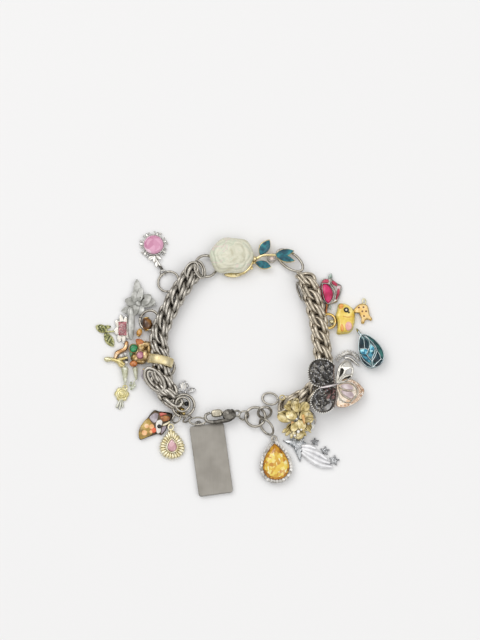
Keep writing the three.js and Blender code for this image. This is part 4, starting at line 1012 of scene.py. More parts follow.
# ---- gold twig ----
# A cast twig of yellow and reddish gold: a thick bar with a pale rounded end, a bent branch above and a stub
# below, with two white stones and a black one where they meet.
rose_gold = finish("rose_gold", "a87c50 cda478 e6cdac", "6c4420", 500, 0.8, 0.9, 0.12, 0.3, metallic=0.85)
pale_tip = finish("pale_tip", "cfc89c e6e0bc", "8d8458", 500, 0.8, 0.8, 0.1, 0.28, metallic=0.6)
black_stone = finish("black_stone", "070606 141312", "030303", 500, 0.6, 0.5, 0.05, 0.14, coat=0.5, shine=0.3)
clear_stone = glassy("clear_stone", "9a9690 cfccc6 f2f0ec", "5c5852", 800)


bar = branch([(-55.8, 1.8, 1.2), (-53.6, 1.2, 1.3), (-51.6, 0.4, 1.4), (-50.2, -0.6, 1.3)],
             [1.5, 1.7, 2.3, 1.6])
side_bar = branch([(-52.6, 1.4, 1.4), (-50.6, 1.8, 1.6), (-48.9, 2.2, 1.6)], [1.6, 1.3, 1.6])
upper = branch([(-54.0, 2.2, 1.2), (-53.2, 4.2, 1.4), (-51.2, 5.4, 1.5), (-49.6, 6.4, 1.5),
                (-48.9, 9.2, 1.4)], [1.5, 2.2, 1.9, 2.1, 1.6])
stub = branch([(-52.2, 0.4, 1.3), (-51.4, -1.0, 1.2), (-49.9, -1.5, 1.2)], [2.0, 1.8, 1.2])
twig_gold = finish("twig_gold", "c4b070 e2d4a0", "8a6c34", 500, 0.8, 0.9, 0.16, 0.36, metallic=0.8)
piece("twig_bars", [bar, side_bar, stub], "gold_twig", twig_gold)
piece("twig_branch", [upper], None, rose_gold)
piece("twig_tip", [branch([(-58.0, 1.7, 1.2), (-57.0, 1.7, 1.25), (-55.6, 1.8, 1.2)], [2.0, 2.3, 1.6])], None,
      pale_tip)
piece("twig_white_stones", [ball(-50.9, 3.2, 1.7, 0.95, (1.3, 0.9, 0.8)), ball(-49.6, 3.7, 1.8, 0.75),
                            ball(-48.9, 0.3, 1.6, 0.7)], None, clear_stone)
piece("twig_black_stone", [ball(-48.9, 1.2, 2.3, 0.62, (1.3, 0.8, 0.8))], None, black_stone)


# ---- gem cluster ----
# A knot of cast gold with a glossy burnt-orange bud, a green stone over a darker one and a pink stone in a
# brown-gold rim.
old_gold = finish("old_gold", "8a7044 b4986a d8c29c", "4a3820", 500, 0.9, 1.0, 0.16, 0.36, metallic=0.9)
burnt_orange = finish("burnt_orange", "9a4818 c27438 dfa06a", "5c2c10", 350, 0.7, 0.9, 0.06, 0.2, coat=0.5)
leaf_green = glassy("leaf_green_stone", "0e6a40 1c9256 40b478", "0a4a2c", 350)
moss_green = finish("moss_green", "1d5a38 3c7a48 66904e", "0c2c1a", 350, 0.7, 0.9, 0.05, 0.18, coat=1)
dusty_pink = glassy("dusty_pink_stone", "a8687c c48896 dcb0b6", "6a3a48", 420)
gold_lumps = [
    ((-40.2, 8.0), 2.2, (1.5, 0.7, 0.8)), ((-39.1, 5.8), 2.0, (0.7, 1.5, 0.8)),
    ((-40.7, 3.2), 2.2, (1.0, 1.3, 0.8)), ((-45.4, 2.3), 1.9, (1.0, 1.1, 0.8)),
    ((-42.6, 7.1), 2.0, (1.1, 1.2, 0.8)), ((-38.9, 3.6), 1.6, (1.4, 0.7, 0.9)),
    ((-42.8, 0.4), 1.6, (1.5, 0.7, 0.8)),
]
lumps = [ball(x, y, 1.9, radius, squash) for (x, y), radius, squash in gold_lumps]
chance = np.random.default_rng(7)
for _ in range(26):
    a, far = chance.uniform(0, 2 * math.pi), math.sqrt(chance.uniform(0.05, 1))
    lumps.append(ball(-42.2 + 4.0 * far * math.cos(a), 4.6 + 5.0 * far * math.sin(a), 2.4,
                      chance.uniform(0.45, 0.8), (chance.uniform(0.8, 2.0), 0.8, 0.8), 6, 10))
core = dome(-42.6, 4.4, 6.6, 9.0, 0.12, 2.3, 6, 0.4, 40, -18)
seats = [dome(-45.9, 6.2, 4.5, 4.4, 0.8, 2.7, 5, 0.2, 36), dome(-43.0, 3.2, 4.4, 4.3, 0.8, 2.7, 5, 0.2, 36)]
twists = [loop(-43.0, 3.2, 2.75, 2.0, 1.95, 0.5), loop(-45.9, 6.2, 2.7, 2.0, 1.95, 0.4)]
piece("cluster_gold", [core, *lumps, *seats, *twists], "gem_setting", old_gold)
piece("cluster_orange_buds", [turned(leaf(5.2, 3.3, 2.2, blunt=0.6, low=1.4), -45.0, 10.2, -38),
                              ball(-45.9, -0.4, 2.0, 1.6, (1.1, 0.9, 0.9), 12, 18)], None,
      burnt_orange)
piece("cluster_moss", [turned(leaf(4.0, 2.2, 1.2, blunt=0.6, low=1.5), -47.2, 5.4, -72)], None,
      moss_green)
piece("green_stone_set", [dome(-45.9, 6.2, 3.5, 3.6, 2.2, 3.9, 8, 0.6, 32)], "green_gem",
      leaf_green)
piece("pink_stone_set", [dome(-43.0, 3.2, 3.3, 3.4, 2.2, 3.9, 8, 0.6, 32)], "pink_gem",
      dusty_pink)


# ---- gold band and lavender bead ----
# A broad band of pale gold bent over the chain, pierced near its inner end; beside it hangs a clouded
# lavender stone.
BAND_TURN = -12
band_low, band_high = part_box("gold_band")
band_at = (*((band_low + band_high) / 2 / MM - Vector(DRAWN) / MM).xy, BAND_TURN)


def band_over_chain():
    """A strap bent to an arch: its section is a soft-edged strip, its two feet end beside the chain."""
    half_wide, thick = 2.05, 0.6
    section = [(-half_wide, 0.0), (-half_wide + 0.12, thick * 0.5), (-half_wide + 0.5, thick),
               (0, thick * 1.12), (half_wide - 0.5, thick), (half_wide - 0.12, thick * 0.5),
               (half_wide, 0.0), (0, -0.04)]
    return skinned([[((5.05 + out) * math.cos(a), across, 3.75 + (4.8 + out) * math.sin(a))
                     for across, out in section] for a in np.radians(np.linspace(12, 168, 40))])


grains = [(5.62 * math.cos(a), across, 3.75 + 5.35 * math.sin(a), 0.42)
          for a in np.radians(np.linspace(20, 160, 30)) for across in (-1.75, 1.75)]
band_gold = finish("band_gold", "d6c592 e9ddb8", "a08a54", 400, 0.6, 0.8, 0.3, 0.5, metallic=0.7)
piece("band_strap", [band_over_chain()], "gold_band", band_gold, band_at)
set_stones("band_grains", grains, grain_shape, band_gold, 2, 0, band_at)
lavender = finish("lavender_stone", "8a808e aca3ae cfc9d0", "4c4650", 300, 0.8, 0.7, 0.06, 0.2, coat=0.8)
piece("lavender_stone_bead", [turned(ball(0, 0, 0, 1.9, (0.8, 1.3, 0.8), 14, 22), -41.3, -5.3, 8, 1.8)],
      "lavender_bead", lavender)
piece("lavender_cap", [ball(-41.5, -3.0, 1.8, 0.6), ball(-41.0, -7.6, 1.8, 0.5)], None, warm_gold)


# ---- drops below the cluster ----
# A ribbed fan drop and a narrower one in pale green gold, a few clear crystals, and a small gold rose
# medallion that carries three silver prongs.
green_gold = finish("green_gold", "b2b394 cdceb6 e5e6d8", "74755a", 500, 0.6, 0.7, 0.16, 0.34, metallic=0.25)
sage_crystal = glassy("sage_crystal", "8f9678 c3c8ae e8ebdc", "4a5036", 700)


def ribbed_cone(x, y, z, top, bottom, long, turn=0, ribs=7):
    """A cone lying on its side, its length along Y, with fine ribs from end to end."""
    a = round_turns(42)
    rings = []
    for u in np.linspace(0, 1, 12):
        radius = (bottom + (top - bottom) * u ** 0.8) / 2 * (0.72 if u in (0, 1) else 1)
        r = radius * (1 + 0.07 * np.cos(ribs * 2 * a))
        rings.append(np.column_stack([r * np.cos(a), np.full(42, long * (u - 0.5)), r * np.sin(a)]))
    return turned(skinned(rings), x, y, turn, z)


piece("fan_cone", [ribbed_cone(-49.6, -5.4, 1.8, 3.2, 1.0, 6.8, 2), ball(-49.6, -8.9, 1.5, 0.6),
                   loop(-49.6, -2.2, 1.9, 0.8, 0.8, 0.4)], "fan_drop", green_gold)
piece("narrow_cone", [ribbed_cone(-45.0, -4.6, 1.4, 2.1, 0.8, 5.6, 6, 5),
                      tube([(-45.3, -7.4, 1.3), (-46.4, -10.2, 1.3)], 0.5, 8)], "crystal_drop",
      green_gold)
crystal_spots = [(-46.2, -10.6, 1.2, 1.5), (-47.3, -9.7, 1.2, 1.2), (-45.3, -9.9, 1.3, 1.2),
                 (-46.9, -11.4, 1.0, 1.1), (-45.7, -8.9, 1.4, 1.1), (-47.0, -8.6, 1.3, 0.9)]
set_stones("small_crystals", crystal_spots, stone_shape, sage_crystal, 5, tilt=0.6)

medal = []
for share, petals, first, high in ((1.0, 6, 0, 1.5), (0.72, 5, 30, 2.0), (0.42, 3, 10, 2.4)):
    edge = oval(6.5 * share, 6.5 * share, 60)
    a = round_turns(60)
    edge *= (0.86 + 0.14 * np.abs(np.cos(petals / 2 * (a - math.radians(first)))))[:, None]
    medal.append(turned(pad(edge, 0.15, high, 6, 0.25), -51.0, -13.6))
medal.append(loop(-49.6, -10.7, 1.1, 0.9, 0.9, 0.55))
medal_gold = finish("medal_gold", "c4b878 dad09c ece6c4", "8c8048", 500, 0.5, 0.8, 0.2, 0.4, metallic=0.5)
piece("medallion_rose", medal, "medallion", medal_gold)
prong_ends = ((-2.2, -5.8), (-0.9, -6.5), (0.4, -5.6))
prongs = [branch([(-51.0 + 0.3 * x, -16.0, 1.0), (-51.0 + x, -13.6 + y, 0.7)], [0.7, 0.9]) for x,
          y in prong_ends]
pale_prong = finish("pale_prong", "b8b8a8 dcdccf", "7c7c6c", 420, 0.4, 0.6, 0.16, 0.32, metallic=0.5)
piece("medallion_prongs", prongs, None, pale_prong)


# ---- paved bow ----
# A small silver bow of three pointed loops, paved with fine clear stones.
bow_loops = [((-24.8, -12.8), 76, 5.4, 4.4), ((-25.0, -12.4), 9, 6.2, 2.6), ((-24.1, -12.4), 174, 4.0, 2.6),
             ((-24.6, -12.2), 262, 2.4, 2.2)]
grey_stone = glassy("grey_stone", "77767a a9a9ac dcdcde f6f6f6", "4c4c50", 1100)
bow_silver = finish("bow_silver", "a5a29c cfccc6", "56524b", 500, 0.6, 0.8, 0.2, 0.4, metallic=0.9)
shapes, spots = [], []
for (x, y), turn, long, wide in bow_loops:
    shapes.append(turned(leaf(long, wide, 1.3, blunt=0.9, low=0.2), x, y, turn))
    c, s = math.cos(math.radians(turn)), math.sin(math.radians(turn))
    for u in np.arange(0.12, 0.95, 0.78 / long):
        half = wide / 2 * math.sin(math.pi * u) ** 0.9 * 0.72
        for v in np.arange(-half, half + 0.01, max(0.74, half)):
            spots.append((x + long * u * c - v * s, y + long * u * s + v * c, 1.4, 0.76))
piece("bow_loops", shapes, "pave_bow", bow_silver)
set_stones("bow_stones", spots, stone_shape, grey_stone, 9, tilt=0.4)


# ---- beads inside the ring cluster ----
# A pair of gold beads and a dark round one, loose inside the two rings.
bead_gold = finish("bead_gold", "9c8248 c9b072 e4d6a6", "4c3a14", 500, 0.7, 0.9, 0.1, 0.26, metallic=0.9)
bead_rows = [(-24.9, -21.0, 2.1, 1.35, (1, 1, 0.9)), (-25.8, -19.5, 2.2, 1.0, (0.9, 1.2, 0.9)),
             (-24.2, -22.2, 1.9, 0.9, (1, 1, 0.9)), (-26.3, -21.2, 1.9, 0.85, (1, 1, 0.9))]
pale_bead = finish("pale_bead", "a8a284 cfcab0 e8e5d6", "5e583c", 420, 0.6, 0.8, 0.08, 0.24, coat=0.5)
piece("pale_bead_pair", [ball(-25.6, -16.9, 2.2, 1.25, (1.1, 1.0, 0.9)), ball(-24.3, -18.0, 2.0, 0.8)], None,
      pale_bead)
piece("gold_bead_pair", [ball(*row, 12, 18) for row in bead_rows], "gold_bead", bead_gold)
piece("dark_bead_round", [ball(-22.9, -18.2, 2.6, 1.1, rows=12, sides=18)], "dark_bead",
      black_stone)


# ---- enamel bird ----
# A small flat cast bird: a dark metal plate with raised cells of glossy enamel, white at the face, brown and
# red over the wing, and gold with orange spots along the tail.
BIRD_AT = (-36.0, -27.3)
bird_edge = [(7.0, 4.2), (5.6, 5.6), (1.2, 6.2), (-1.0, 6.6), (-3.6, 3.6), (-6.4, -0.4), (-7.5, -3.6),
             (-7.0, -6.3), (-3.0, -5.0), (0.6, -3.9), (2.4, -4.3), (4.4, -1.6)]
bronze = finish("bird_bronze", "3c332a 6b5a46", "171310", 400, 0.7, 0.9, 0.2, 0.4, metallic=0.8)
bird_tones = {
    "ochre": "7d6226 a98a3c c4a654", "lilac": "8c8088 a9a0a8 c4bcc2", "white": "dcd8d0 f2efe9",
    "brown": "7a421a a5652e c08a52", "red": "a33a30 c4584c d98070", "cream": "d8cba0 efe6c8",
    "apricot": "dc9a58 efba84 f6d2a8", "flame": "c23c18 dc5a30 ee8458", "smoke": "8a7e86 a89ca4",
}
bird_cells = [
    ("ochre", [(-39.8, -24.3), (-38.0, -26.1), (-36.7, -28.3), (-37.6, -31.1), (-40.7, -32.9),
               (-43.0, -33.4), (-43.7, -30.9), (-42.8, -27.8)]),
    ("lilac", [(-37.0, -22.1), (-35.2, -22.3), (-35.4, -24.7), (-36.7, -26.5), (-38.5, -25.2),
               (-38.9, -23.8)]),
    ("white", [(-35.9, -25.6), (-33.9, -24.9), (-33.3, -26.3), (-33.9, -28.3), (-34.1, -30.5),
               (-35.7, -30.9), (-36.3, -28.3)]),
    ("brown", [(-34.3, -23.8), (-32.4, -23.2), (-30.2, -23.8), (-30.4, -25.2), (-32.4, -25.8),
               (-33.7, -25.4)]),
    ("red", [(-34.6, -22.0), (-32.8, -22.0), (-31.3, -22.5), (-32.8, -23.0), (-34.3, -23.5)]),
    ("cream", [(-33.3, -27.2), (-31.5, -26.3), (-30.0, -25.5), (-30.2, -26.3), (-31.7, -27.4),
               (-33.0, -27.8)]),
    ("smoke", [(-33.5, -28.3), (-31.7, -27.8), (-32.0, -29.2), (-33.3, -30.9), (-33.9, -31.1)]),
]
bird_spots = [
    ("apricot", (-40.2, -27.8), 1.15), ("apricot", (-41.1, -30.8), 1.35), ("apricot", (-38.0, -28.1), 1.2),
    ("flame", (-37.2, -29.6), 1.25), ("apricot", (-38.3, -30.3), 0.8),
]


def cushion(line, low, high, rows, plump, share=1):
    """A pad on an outline where it lies, drawn in towards its middle by a share."""
    middle = line.mean(0)
    return turned(pad((line - middle) * share, low, high, rows, plump), *middle)


def cell(outline, low, high, count=36, plump=0.22):
    """A pool of enamel: an outline filled to a softly rounded top."""
    return cushion(flowing(outline, count, True), low, high, 4, plump)


bird_paint = {name: finish("bird_" + name, tones, "4a3a2c", 420, 0.4, 0.6, 0.08, 0.24, coat=0.2)
              for name, tones in bird_tones.items()}
plate = turned(pad(flowing(bird_edge, 90, True), 0.15, 1.75, 6, 0.16), *BIRD_AT)
piece("bird_plate", [plate], "bird", bronze)
pools = [(cell(outline, 1.2, 2.0), bird_paint[name]) for name, outline in bird_cells]
pools += [(turned(pad(oval(2 * r, 2 * r, 24), 1.6, 2.1, 4, 0.4), x, y), bird_paint[name]) for name, (x, y),
          r in bird_spots]
pools.append((ball(-34.7, -28.0, 1.95, 0.95, (1, 1, 0.5)), black_stone))
piece("bird_enamel", pools, None, None)


# ---- gold pear drop ----
# A pear-shaped drop of pale gold, its wide border cast in fine ribs that fan out to a scalloped edge, round a
# rimmed pink stone. It hangs from a small bail.
PEAR_AT = (-29.2, -35.6, 4)
PEAR_RIBS = 24


def pear(across, tall, count=72):
    """A pear outline about its middle, point upward."""
    t = round_turns(count)
    x = np.sin(t) * np.sin(t / 2) ** 0.8
    return np.column_stack([x / x.max() * across / 2, np.cos(t) * tall / 2])


pear_gold = finish("pear_gold", "d6c896 eae0bc f6f2de", "a8955a", 420, 0.4, 0.9, 0.18, 0.36, metallic=0.6)
blush = glassy("blush_stone", "c4949c dcb2b8 f0d8da", "96666e", 520)
border = flowing(pear(11.2, 13.4), PEAR_RIBS * 4, True)
base = pad(border * 0.93, 0.15, 1.7, 8, 0.3)
fan = []
for x, y in border[::4]:
    start = np.array((x * 0.40, y * 0.46 - 0.7))
    reach = np.array((x, y)) - start
    long = np.hypot(*reach)
    fan.append(turned(leaf(long, 1.45, 0.9, lift=-0.5, crease=-0.3, blunt=0.45, fat=0.68, low=1.35, rows=10,
                           sides=10), *start, math.degrees(math.atan2(reach[1], reach[0]))))
inner = raised(pear(4.6, 6.2, 60) + (0, -0.8), 2.5)
rim = tube(inner, 0.55, 8, closed=True)
bail = loop(0, 7.3, 1.6, 1.1, 1.3, 0.8)
collar = ball(0, 6.2, 1.5, 0.8, (1.3, 0.8, 0.8))
piece("pear_drop_frame", [base, *fan, rim, bail, collar], "pear_frame", pear_gold, PEAR_AT)
stone = turned(pad(pear(4.0, 5.5, 60), 1.75, 3.2, 8, 0.5), 0, -0.8)
piece("pear_drop_stone", [stone], "pear_stone", blush, PEAR_AT)


# ---- citrine drop ----
# A deep yellow pear-cut citrine in a silver pear frame set all round with small clear stones, hung by a bail.
# The stone is a crown of flat facets with painted flashes from pale yellow to brown, and painted shade in a
# deeper tone on the facets at its girdle and point.
CITRINE_AT = (15.7, -43.3, 4)


def faceted(rows, count):
    """A cut stone on a pear: rows of (across, tall, height, step round), joined by flat facets."""
    rings = []
    for across, tall, height, step in rows:
        rings.append(raised(np.roll(pear(across, tall, count * 8), -int(step * 8), 0)[::8], height))
    faces = []
    for r in range(len(rings) - 1):
        ahead = rows[r + 1][3] > rows[r][3]
        for i in range(count):
            a, b = r * count + i, r * count + (i + 1) % count
            c, d = a + count, b + count
            faces += [(a, b, c), (b, d, c)] if ahead else [(a, b, d), (a, d, c)]
    faces += [tuple(reversed(range(count))), tuple(range((len(rings) - 1) * count, len(rings) * count))]
    return np.concatenate(rings), faces


citrine_rows = [(7.0, 9.8, 1.35, 0), (11.3, 15.9, 2.6, 0), (11.3, 15.9, 2.8, 0), (9.9, 14.0, 3.4, 0.5),
                (8.3, 11.8, 3.9, 1), (6.6, 9.4, 4.2, 1.5), (4.6, 6.6, 4.35, 2)]
citrine_glass = glassy("citrine", "cc8c1c deac28 eac238 f2d858 fbf2b4", "a87010", 760, 0.7, 0.1)
citrine_edge_shade = glassy("citrine_painted_edge_shade", "9c5c0a bc7c10 d49420 e6b038", "74440a", 820, 0.7, 0.1)
frame_silver = finish("frame_silver", "a09a90 cdc7bd", "4e483f", 500, 0.6, 1.0, 0.18, 0.38, metallic=1)
outer = pear(14.0, 19.0, 90)
wall = pad(outer * 0.985, 0.15, 2.5, 6, 0.14)
bail = loop(0, 9.9, 1.6, 1.0, 1.25, 0.85)
hinge = ball(0, 9.2, 1.5, 0.8, (1.6, 0.8, 0.8))
rim = tube(raised(pear(11.9, 16.6, 72) + (0, -0.3), 2.7), 0.4, 8, closed=True)
piece("citrine_border", [wall, bail, hinge, rim], "citrine_frame", frame_silver, CITRINE_AT)
round_stones = [(x, y, 2.85, 1.5) for x, y in flowing(pear(13.0, 17.9, 60), 34, True)]
set_stones("citrine_border_stones", round_stones, stone_shape, clear_stone, 12, at=CITRINE_AT)
stone = turned(faceted(citrine_rows, 20), 0, -0.3)
cut = piece("citrine_stone_cut", [stone], "citrine_stone", citrine_glass, CITRINE_AT, smooth=False)
# The girdle facets and those towards the point take the deeper tone: painted shade.
cut.data.materials.append(citrine_edge_shade)
for face in cut.data.polygons:
    at_girdle = face.center.z < 3.4 * MM
    at_point = face.center.y > (CITRINE_AT[1] + 3.2) * MM
    face.material_index = int(at_girdle or at_point)


# ---- shooting star ----
# A silver star with two long paved arms and three curved ribbons of polished silver that trail from it to
# three small stars set with dark stones.
STAR_AT = (25.4, -35.4)
star_silver = finish("star_silver", "9fa1a3 c4c6c8", "4a4a4a", 500, 0.6, 0.9, 0.16, 0.36, metallic=1)
ribbon_silver = finish("ribbon_silver", "dcdcde f2f2f4", "bcbcc0", 400, 0.8, 0.7, 0.24, 0.44, metallic=0.35)
pewter_stone = glassy("pewter_stone", "3c3c3e 77777a b9b9bc", "1a1a1c", 900)
frost_stone = glassy("frost_stone", "5e6468 8e9498 c4c8cc f2f4f6", "3c4044", 1300)
star_arms = [(168, 7.0), (276, 8.2), (344, 5.4), (60, 5.5), (104, 5.0)]


def spoke(reach, degrees):
    """The flat spot at a reach and an angle from zero."""
    return reach * math.cos(math.radians(degrees)), reach * math.sin(math.radians(degrees))


edge = []
for (turn, reach), (after, _) in zip(star_arms, star_arms[1:] + star_arms[:1]):
    edge += [spoke(reach, turn), spoke(2.7, (turn + (after + 360 if after < turn else after)) / 2)]
edge = np.array(edge)
body = turned(pad(edge, 0.15, 1.8, 6, 0.7), *STAR_AT)
trail_lines = [
    [(27.2, -36.5), (30.2, -36.7), (32.8, -37.6)],
    [(27.2, -37.8), (31.1, -38.7), (34.6, -40.1), (37.6, -42.3)],
    [(27.2, -39.6), (31.1, -42.7), (35.4, -44.9), (39.8, -45.6)],
    [(27.6, -38.7), (31.5, -40.9), (35.4, -42.9), (38.9, -44.0)],
]
trails = [branch([(x, y, 1.3) for x, y in line], [1.6, 2.4, 2.4, 1.1]) for line in trail_lines]
small_stars = [((32.7, -34.6), 4.1, 20), ((37.0, -38.5), 4.6, 12), ((40.9, -42.7), 5.2, 8)]
star_bodies, star_spots = [], []
for (x, y), across, first in small_stars:
    tips = [spoke(across / 2 * (0.48 if k % 2 else 1), first + 36 * k) for k in range(10)]
    star_bodies.append(turned(pad(tips, 0.15, 1.4, 4, 0.4), x, y))
    star_spots.append((x, y, 1.45, 0.8))
    for k in range(5):
        for share, size in ((0.19, 0.72), (0.35, 0.55)):
            aside, up = spoke(across * share, first + 72 * k)
            star_spots.append((x + aside, y + up, 1.3, size))
piece("star_body", [body, *star_bodies], "shooting_star", star_silver)
piece("star_trails", trails, None, ribbon_silver)
arm_spots = [(x + STAR_AT[0], y + STAR_AT[1], 1.05 + 0.75 * max(0, 1 - math.hypot(x, y) / 5.5) + 0.08, across)
             for x, y, _, across in spread(edge * 0.95, 0.86, 1.6, 0.8)]
set_stones("star_stones", arm_spots, stone_shape, frost_stone, 14)
set_stones("small_star_stones", star_spots, stone_shape, pewter_stone, 15)


# ---- gold flower and cream stone ----
# A large blossom of pale gold with veined, overlapping petals, orange enamel in one fold and small clear
# stones, leaning off the chain's top. A cream stone in a thin hoop shows beside it.
flower_gold = finish("flower_gold", "a08e58 ccba84 eee2ba", "523c1c", 420, 1.4, 1.15, 0.2, 0.42, 0.2, 0.7)
amber_enamel = finish("amber_enamel", "b98438 d6a45c e8c890", "7d5020", 400, 0.6, 0.8, 0.1, 0.26, coat=0.4)
FLOWER_AT = (25.2, -23.6, 0, 6.5, ("X", 17))
blossom_petals = [
    ((-0.6, -1.5), 172, 8.4, 5.2, 0.7), ((-0.2, -1.1), 118, 8.2, 5.6, 0.9), ((0.7, -0.6), 62, 7.0, 4.6, 0.5),
    ((1.1, -1.9), 14, 5.8, 5.6, 0.7), ((1.1, -3.2), -32, 5.6, 4.2, 0.5), ((0.2, -2.8), -88, 7.8, 5.6, 0.6),
    ((-0.6, -2.8), -128, 6.0, 4.2, 0.3), ((-2.8, 2.0), 140, 3.8, 2.6, 1.5), ((-1.9, 4.2), 60, 3.6, 2.6, 1.0),
]
upper_petals = [
    ((-0.2, -1.5), 150, 5.6, 4.2, 1.4), ((0.2, -1.9), -60, 5.2, 3.8, 1.3), ((0.7, -1.5), 40, 4.6, 3.4, 1.4),
    ((-0.2, -2.8), -118, 4.8, 3.4, 1.2), ((-0.6, 1.1), 96, 5.2, 4.2, 1.3),
]
petals = [turned(leaf(long, wide, 0.9, lift=-0.25, cup=0.6, crease=0.4, ribs=5, rib_high=0.32, blunt=0.5,
                      fat=0.62, low=low, rows=18, sides=24), x, y, turn) for (x, y), turn, long, wide,
          low in blossom_petals]
chance = np.random.default_rng(5)
ruffles = []
for _ in range(18):
    (x, y), turn, long, wide, low = blossom_petals[chance.integers(7)]
    far, a = chance.uniform(0.2, 0.6) * long, math.radians(turn + chance.uniform(-16, 16))
    ruffles.append(turned(leaf(chance.uniform(2.6, 4.2), chance.uniform(0.6, 1.0), 0.6, lift=0.3, crease=0.2,
                               low=low + 0.55, rows=8, sides=10), x + far * math.cos(a),
                          y + far * math.sin(a), turn + chance.uniform(-70, 70)))
petals += [turned(leaf(long, wide, 0.7, lift=0.2, cup=0.3, crease=0.35, ribs=4, rib_high=0.24, blunt=0.6,
                       fat=0.58, low=low), x, y, turn) for (x, y), turn, long, wide, low in upper_petals]
fringe = [turned(leaf(3.4, 1.8, 0.8, low=0.3), x, y, turn) for (x, y), turn in (((-3.2, -6.7), -130),
                                                                                ((-1.9, -7.2), -110),
                                                                                ((-0.2, -7.6), -80),
                                                                                ((1.5, -6.7), -50),
                                                                                ((-4.1, -5.9), 215))]
hanger = loop(-6.7, 7.5, 1.0, 1.1, 1.0, 0.55, 20)
piece("blossom_gold", petals + ruffles + fringe + [hanger], "gold_flower", flower_gold,
      FLOWER_AT)
folds = [
    cell([(1.5, -0.2), (2.6, 0.3), (3.1, -1.1), (3.3, -2.8), (2.8, -4.1), (2.2, -2.8), (1.8, -1.5)], 1.6,
         2.35),
    cell([(-2.8, -2.8), (-1.5, -3.2), (-1.5, -5.4), (-2.2, -6.7), (-2.8, -5.0)], 1.0, 1.6),
]
piece("blossom_enamel", folds, None, amber_enamel, FLOWER_AT)
heart = []
for (u, v), across in (((0.2, -7.2), 1.5), ((-1.3, -8.9), 1.1), ((-0.4, -1.7), 1.1), ((4.6, -3.7), 1.2),
                       ((1.5, -6.3), 1.0)):
    heart.append(ball(u, v, 2.0, across / 2, (1, 1, 0.8)))
piece("blossom_stones", heart, None, clear_stone, FLOWER_AT)
creamy = finish("cream_stone", "c6cbd0 dfe2e2 efece2", "8f8c84", 260, 0.8, 0.6, 0.06, 0.2, coat=0.8)
piece("cream_cabochon", [dome(30.6, -27.8, 4.0, 4.0, 1.9, 3.8, 9, 0.6, 36)], "cream_stone",
      creamy)


# ---- butterfly ----
# A silver butterfly lying against the chain: two blackened filigree wings set with marcasite and edged with
# grains, one openwork wing of polished silver, and one rose-gold wing with pale pink enamel and a paved
# border.
def pierced(outlines, low, high, edge=0.2):
    """A plate cut to an outline with openings in it, its edges rounded off."""
    curve = bpy.data.curves.new("cut_plate", "CURVE")
    curve.dimensions, curve.fill_mode = "2D", "BOTH"
    curve.extrude, curve.bevel_depth, curve.bevel_resolution = (high - low) / 2 - edge, edge, 1
    curve.offset = -edge
    for outline in outlines:
        line = curve.splines.new("POLY")
        line.points.add(len(outline) - 1)
        line.use_cyclic_u = True
        for point, (x, y) in zip(line.points, outline):
            point.co = (x, y, 0, 1)
    cutter = bpy.data.objects.new("cut_plate", curve)
    mesh = bpy.data.meshes.new_from_object(cutter)
    work = bmesh.new()
    work.from_mesh(mesh)
    bmesh.ops.remove_doubles(work, verts=work.verts, dist=1e-4)
    points = np.array([corner.co for corner in work.verts]) + (0, 0, (low + high) / 2)
    faces = [tuple(corner.index for corner in face.verts) for face in work.faces]
    work.free()
    bpy.data.objects.remove(cutter)
    bpy.data.curves.remove(curve)
    bpy.data.meshes.remove(mesh)
    return points, faces


BUTTERFLY_AT = (42.0, -9.2, 0, 6.3, ("Y", 18))
marcasite = glassy("marcasite", "141312 2e2c2a 5a5652 b4b0a8", "0c0b0a", 1100, 0.3)
garnet = glassy("garnet_stone", "3c1c1c 6a3a38 9c7470", "1c0c0c", 800)
black_silver = finish("black_silver", "2c2a28 55524d", "0f0e0d", 420, 0.6, 0.9, 0.22, 0.42, metallic=1)
grain_silver = finish("grain_silver", "a39e92 cbc6ba", "4a453c", 500, 0.12, 0.5, 0.16, 0.34, metallic=1)
edge_silver = finish("edge_silver", "dcd9d2 f6f4ee", "8c8880", 500, 0.1, 0.4, 0.3, 0.5, metallic=0.15)
wing_pink = finish("wing_pink", "ab989c c6b4b8 e2d8d8", "7c666c", 300, 0.7, 0.8, 0.06, 0.2, coat=0.5)
copper_gold = finish("copper_gold", "c4a88e dccab6 f0e8dc", "8c7058", 380, 0.5, 0.8, 0.14, 0.32, metallic=0.8)
upper_dark = flowing([(-1.5, 6.8), (-1.3, -1.1), (-5.4, -2.5), (-9.5, -2.5), (-12.3, -0.7), (-13.2, 2.6),
                      (-12.9, 5.7), (-11.3, 8.2), (-8.6, 9.4), (-4.9, 9.3), (-2.7, 8.3)], 72, True)
lower_dark = flowing([(-1.1, -2.7), (-0.6, -8.2), (-2.4, -12.3), (-6.3, -14.2), (-10.0, -13.3),
                      (-12.1, -10.2), (-11.3, -7.1), (-9.1, -4.0), (-5.4, -2.9)], 72, True)
window = flowing([(-5.2, -12.7), (-5.4, -11.1), (-3.6, -9.9), (-2.2, -9.4), (-2.7, -11.0), (-3.8, -12.4)],
                 30, True)
pinhole = [oval(0.9, 0.9, 14) + spot for spot in ((-11.8, 3.1), (-9.5, -0.5), (-8.1, -10.4))]
openwork = flowing([(-0.4, -1.1), (-0.1, 3.4), (1.2, 7.4), (3.7, 9.6), (6.3, 8.6), (7.5, 6.0), (7.3, 3.1),
                    (5.1, 0.8), (1.9, -0.9)], 60, True)
open_holes = [flowing(line, 24, True) for line in (
    [(0.6, 2.1), (0.9, 5.0), (2.4, 5.9), (3.0, 4.6), (1.9, 3.0)],
    [(3.7, 3.8), (4.9, 5.5), (6.5, 6.0), (6.6, 4.5), (5.1, 3.2)],
    [(2.1, 0.3), (3.7, 1.9), (6.3, 2.9), (5.3, 1.6), (3.7, 0.6)])]
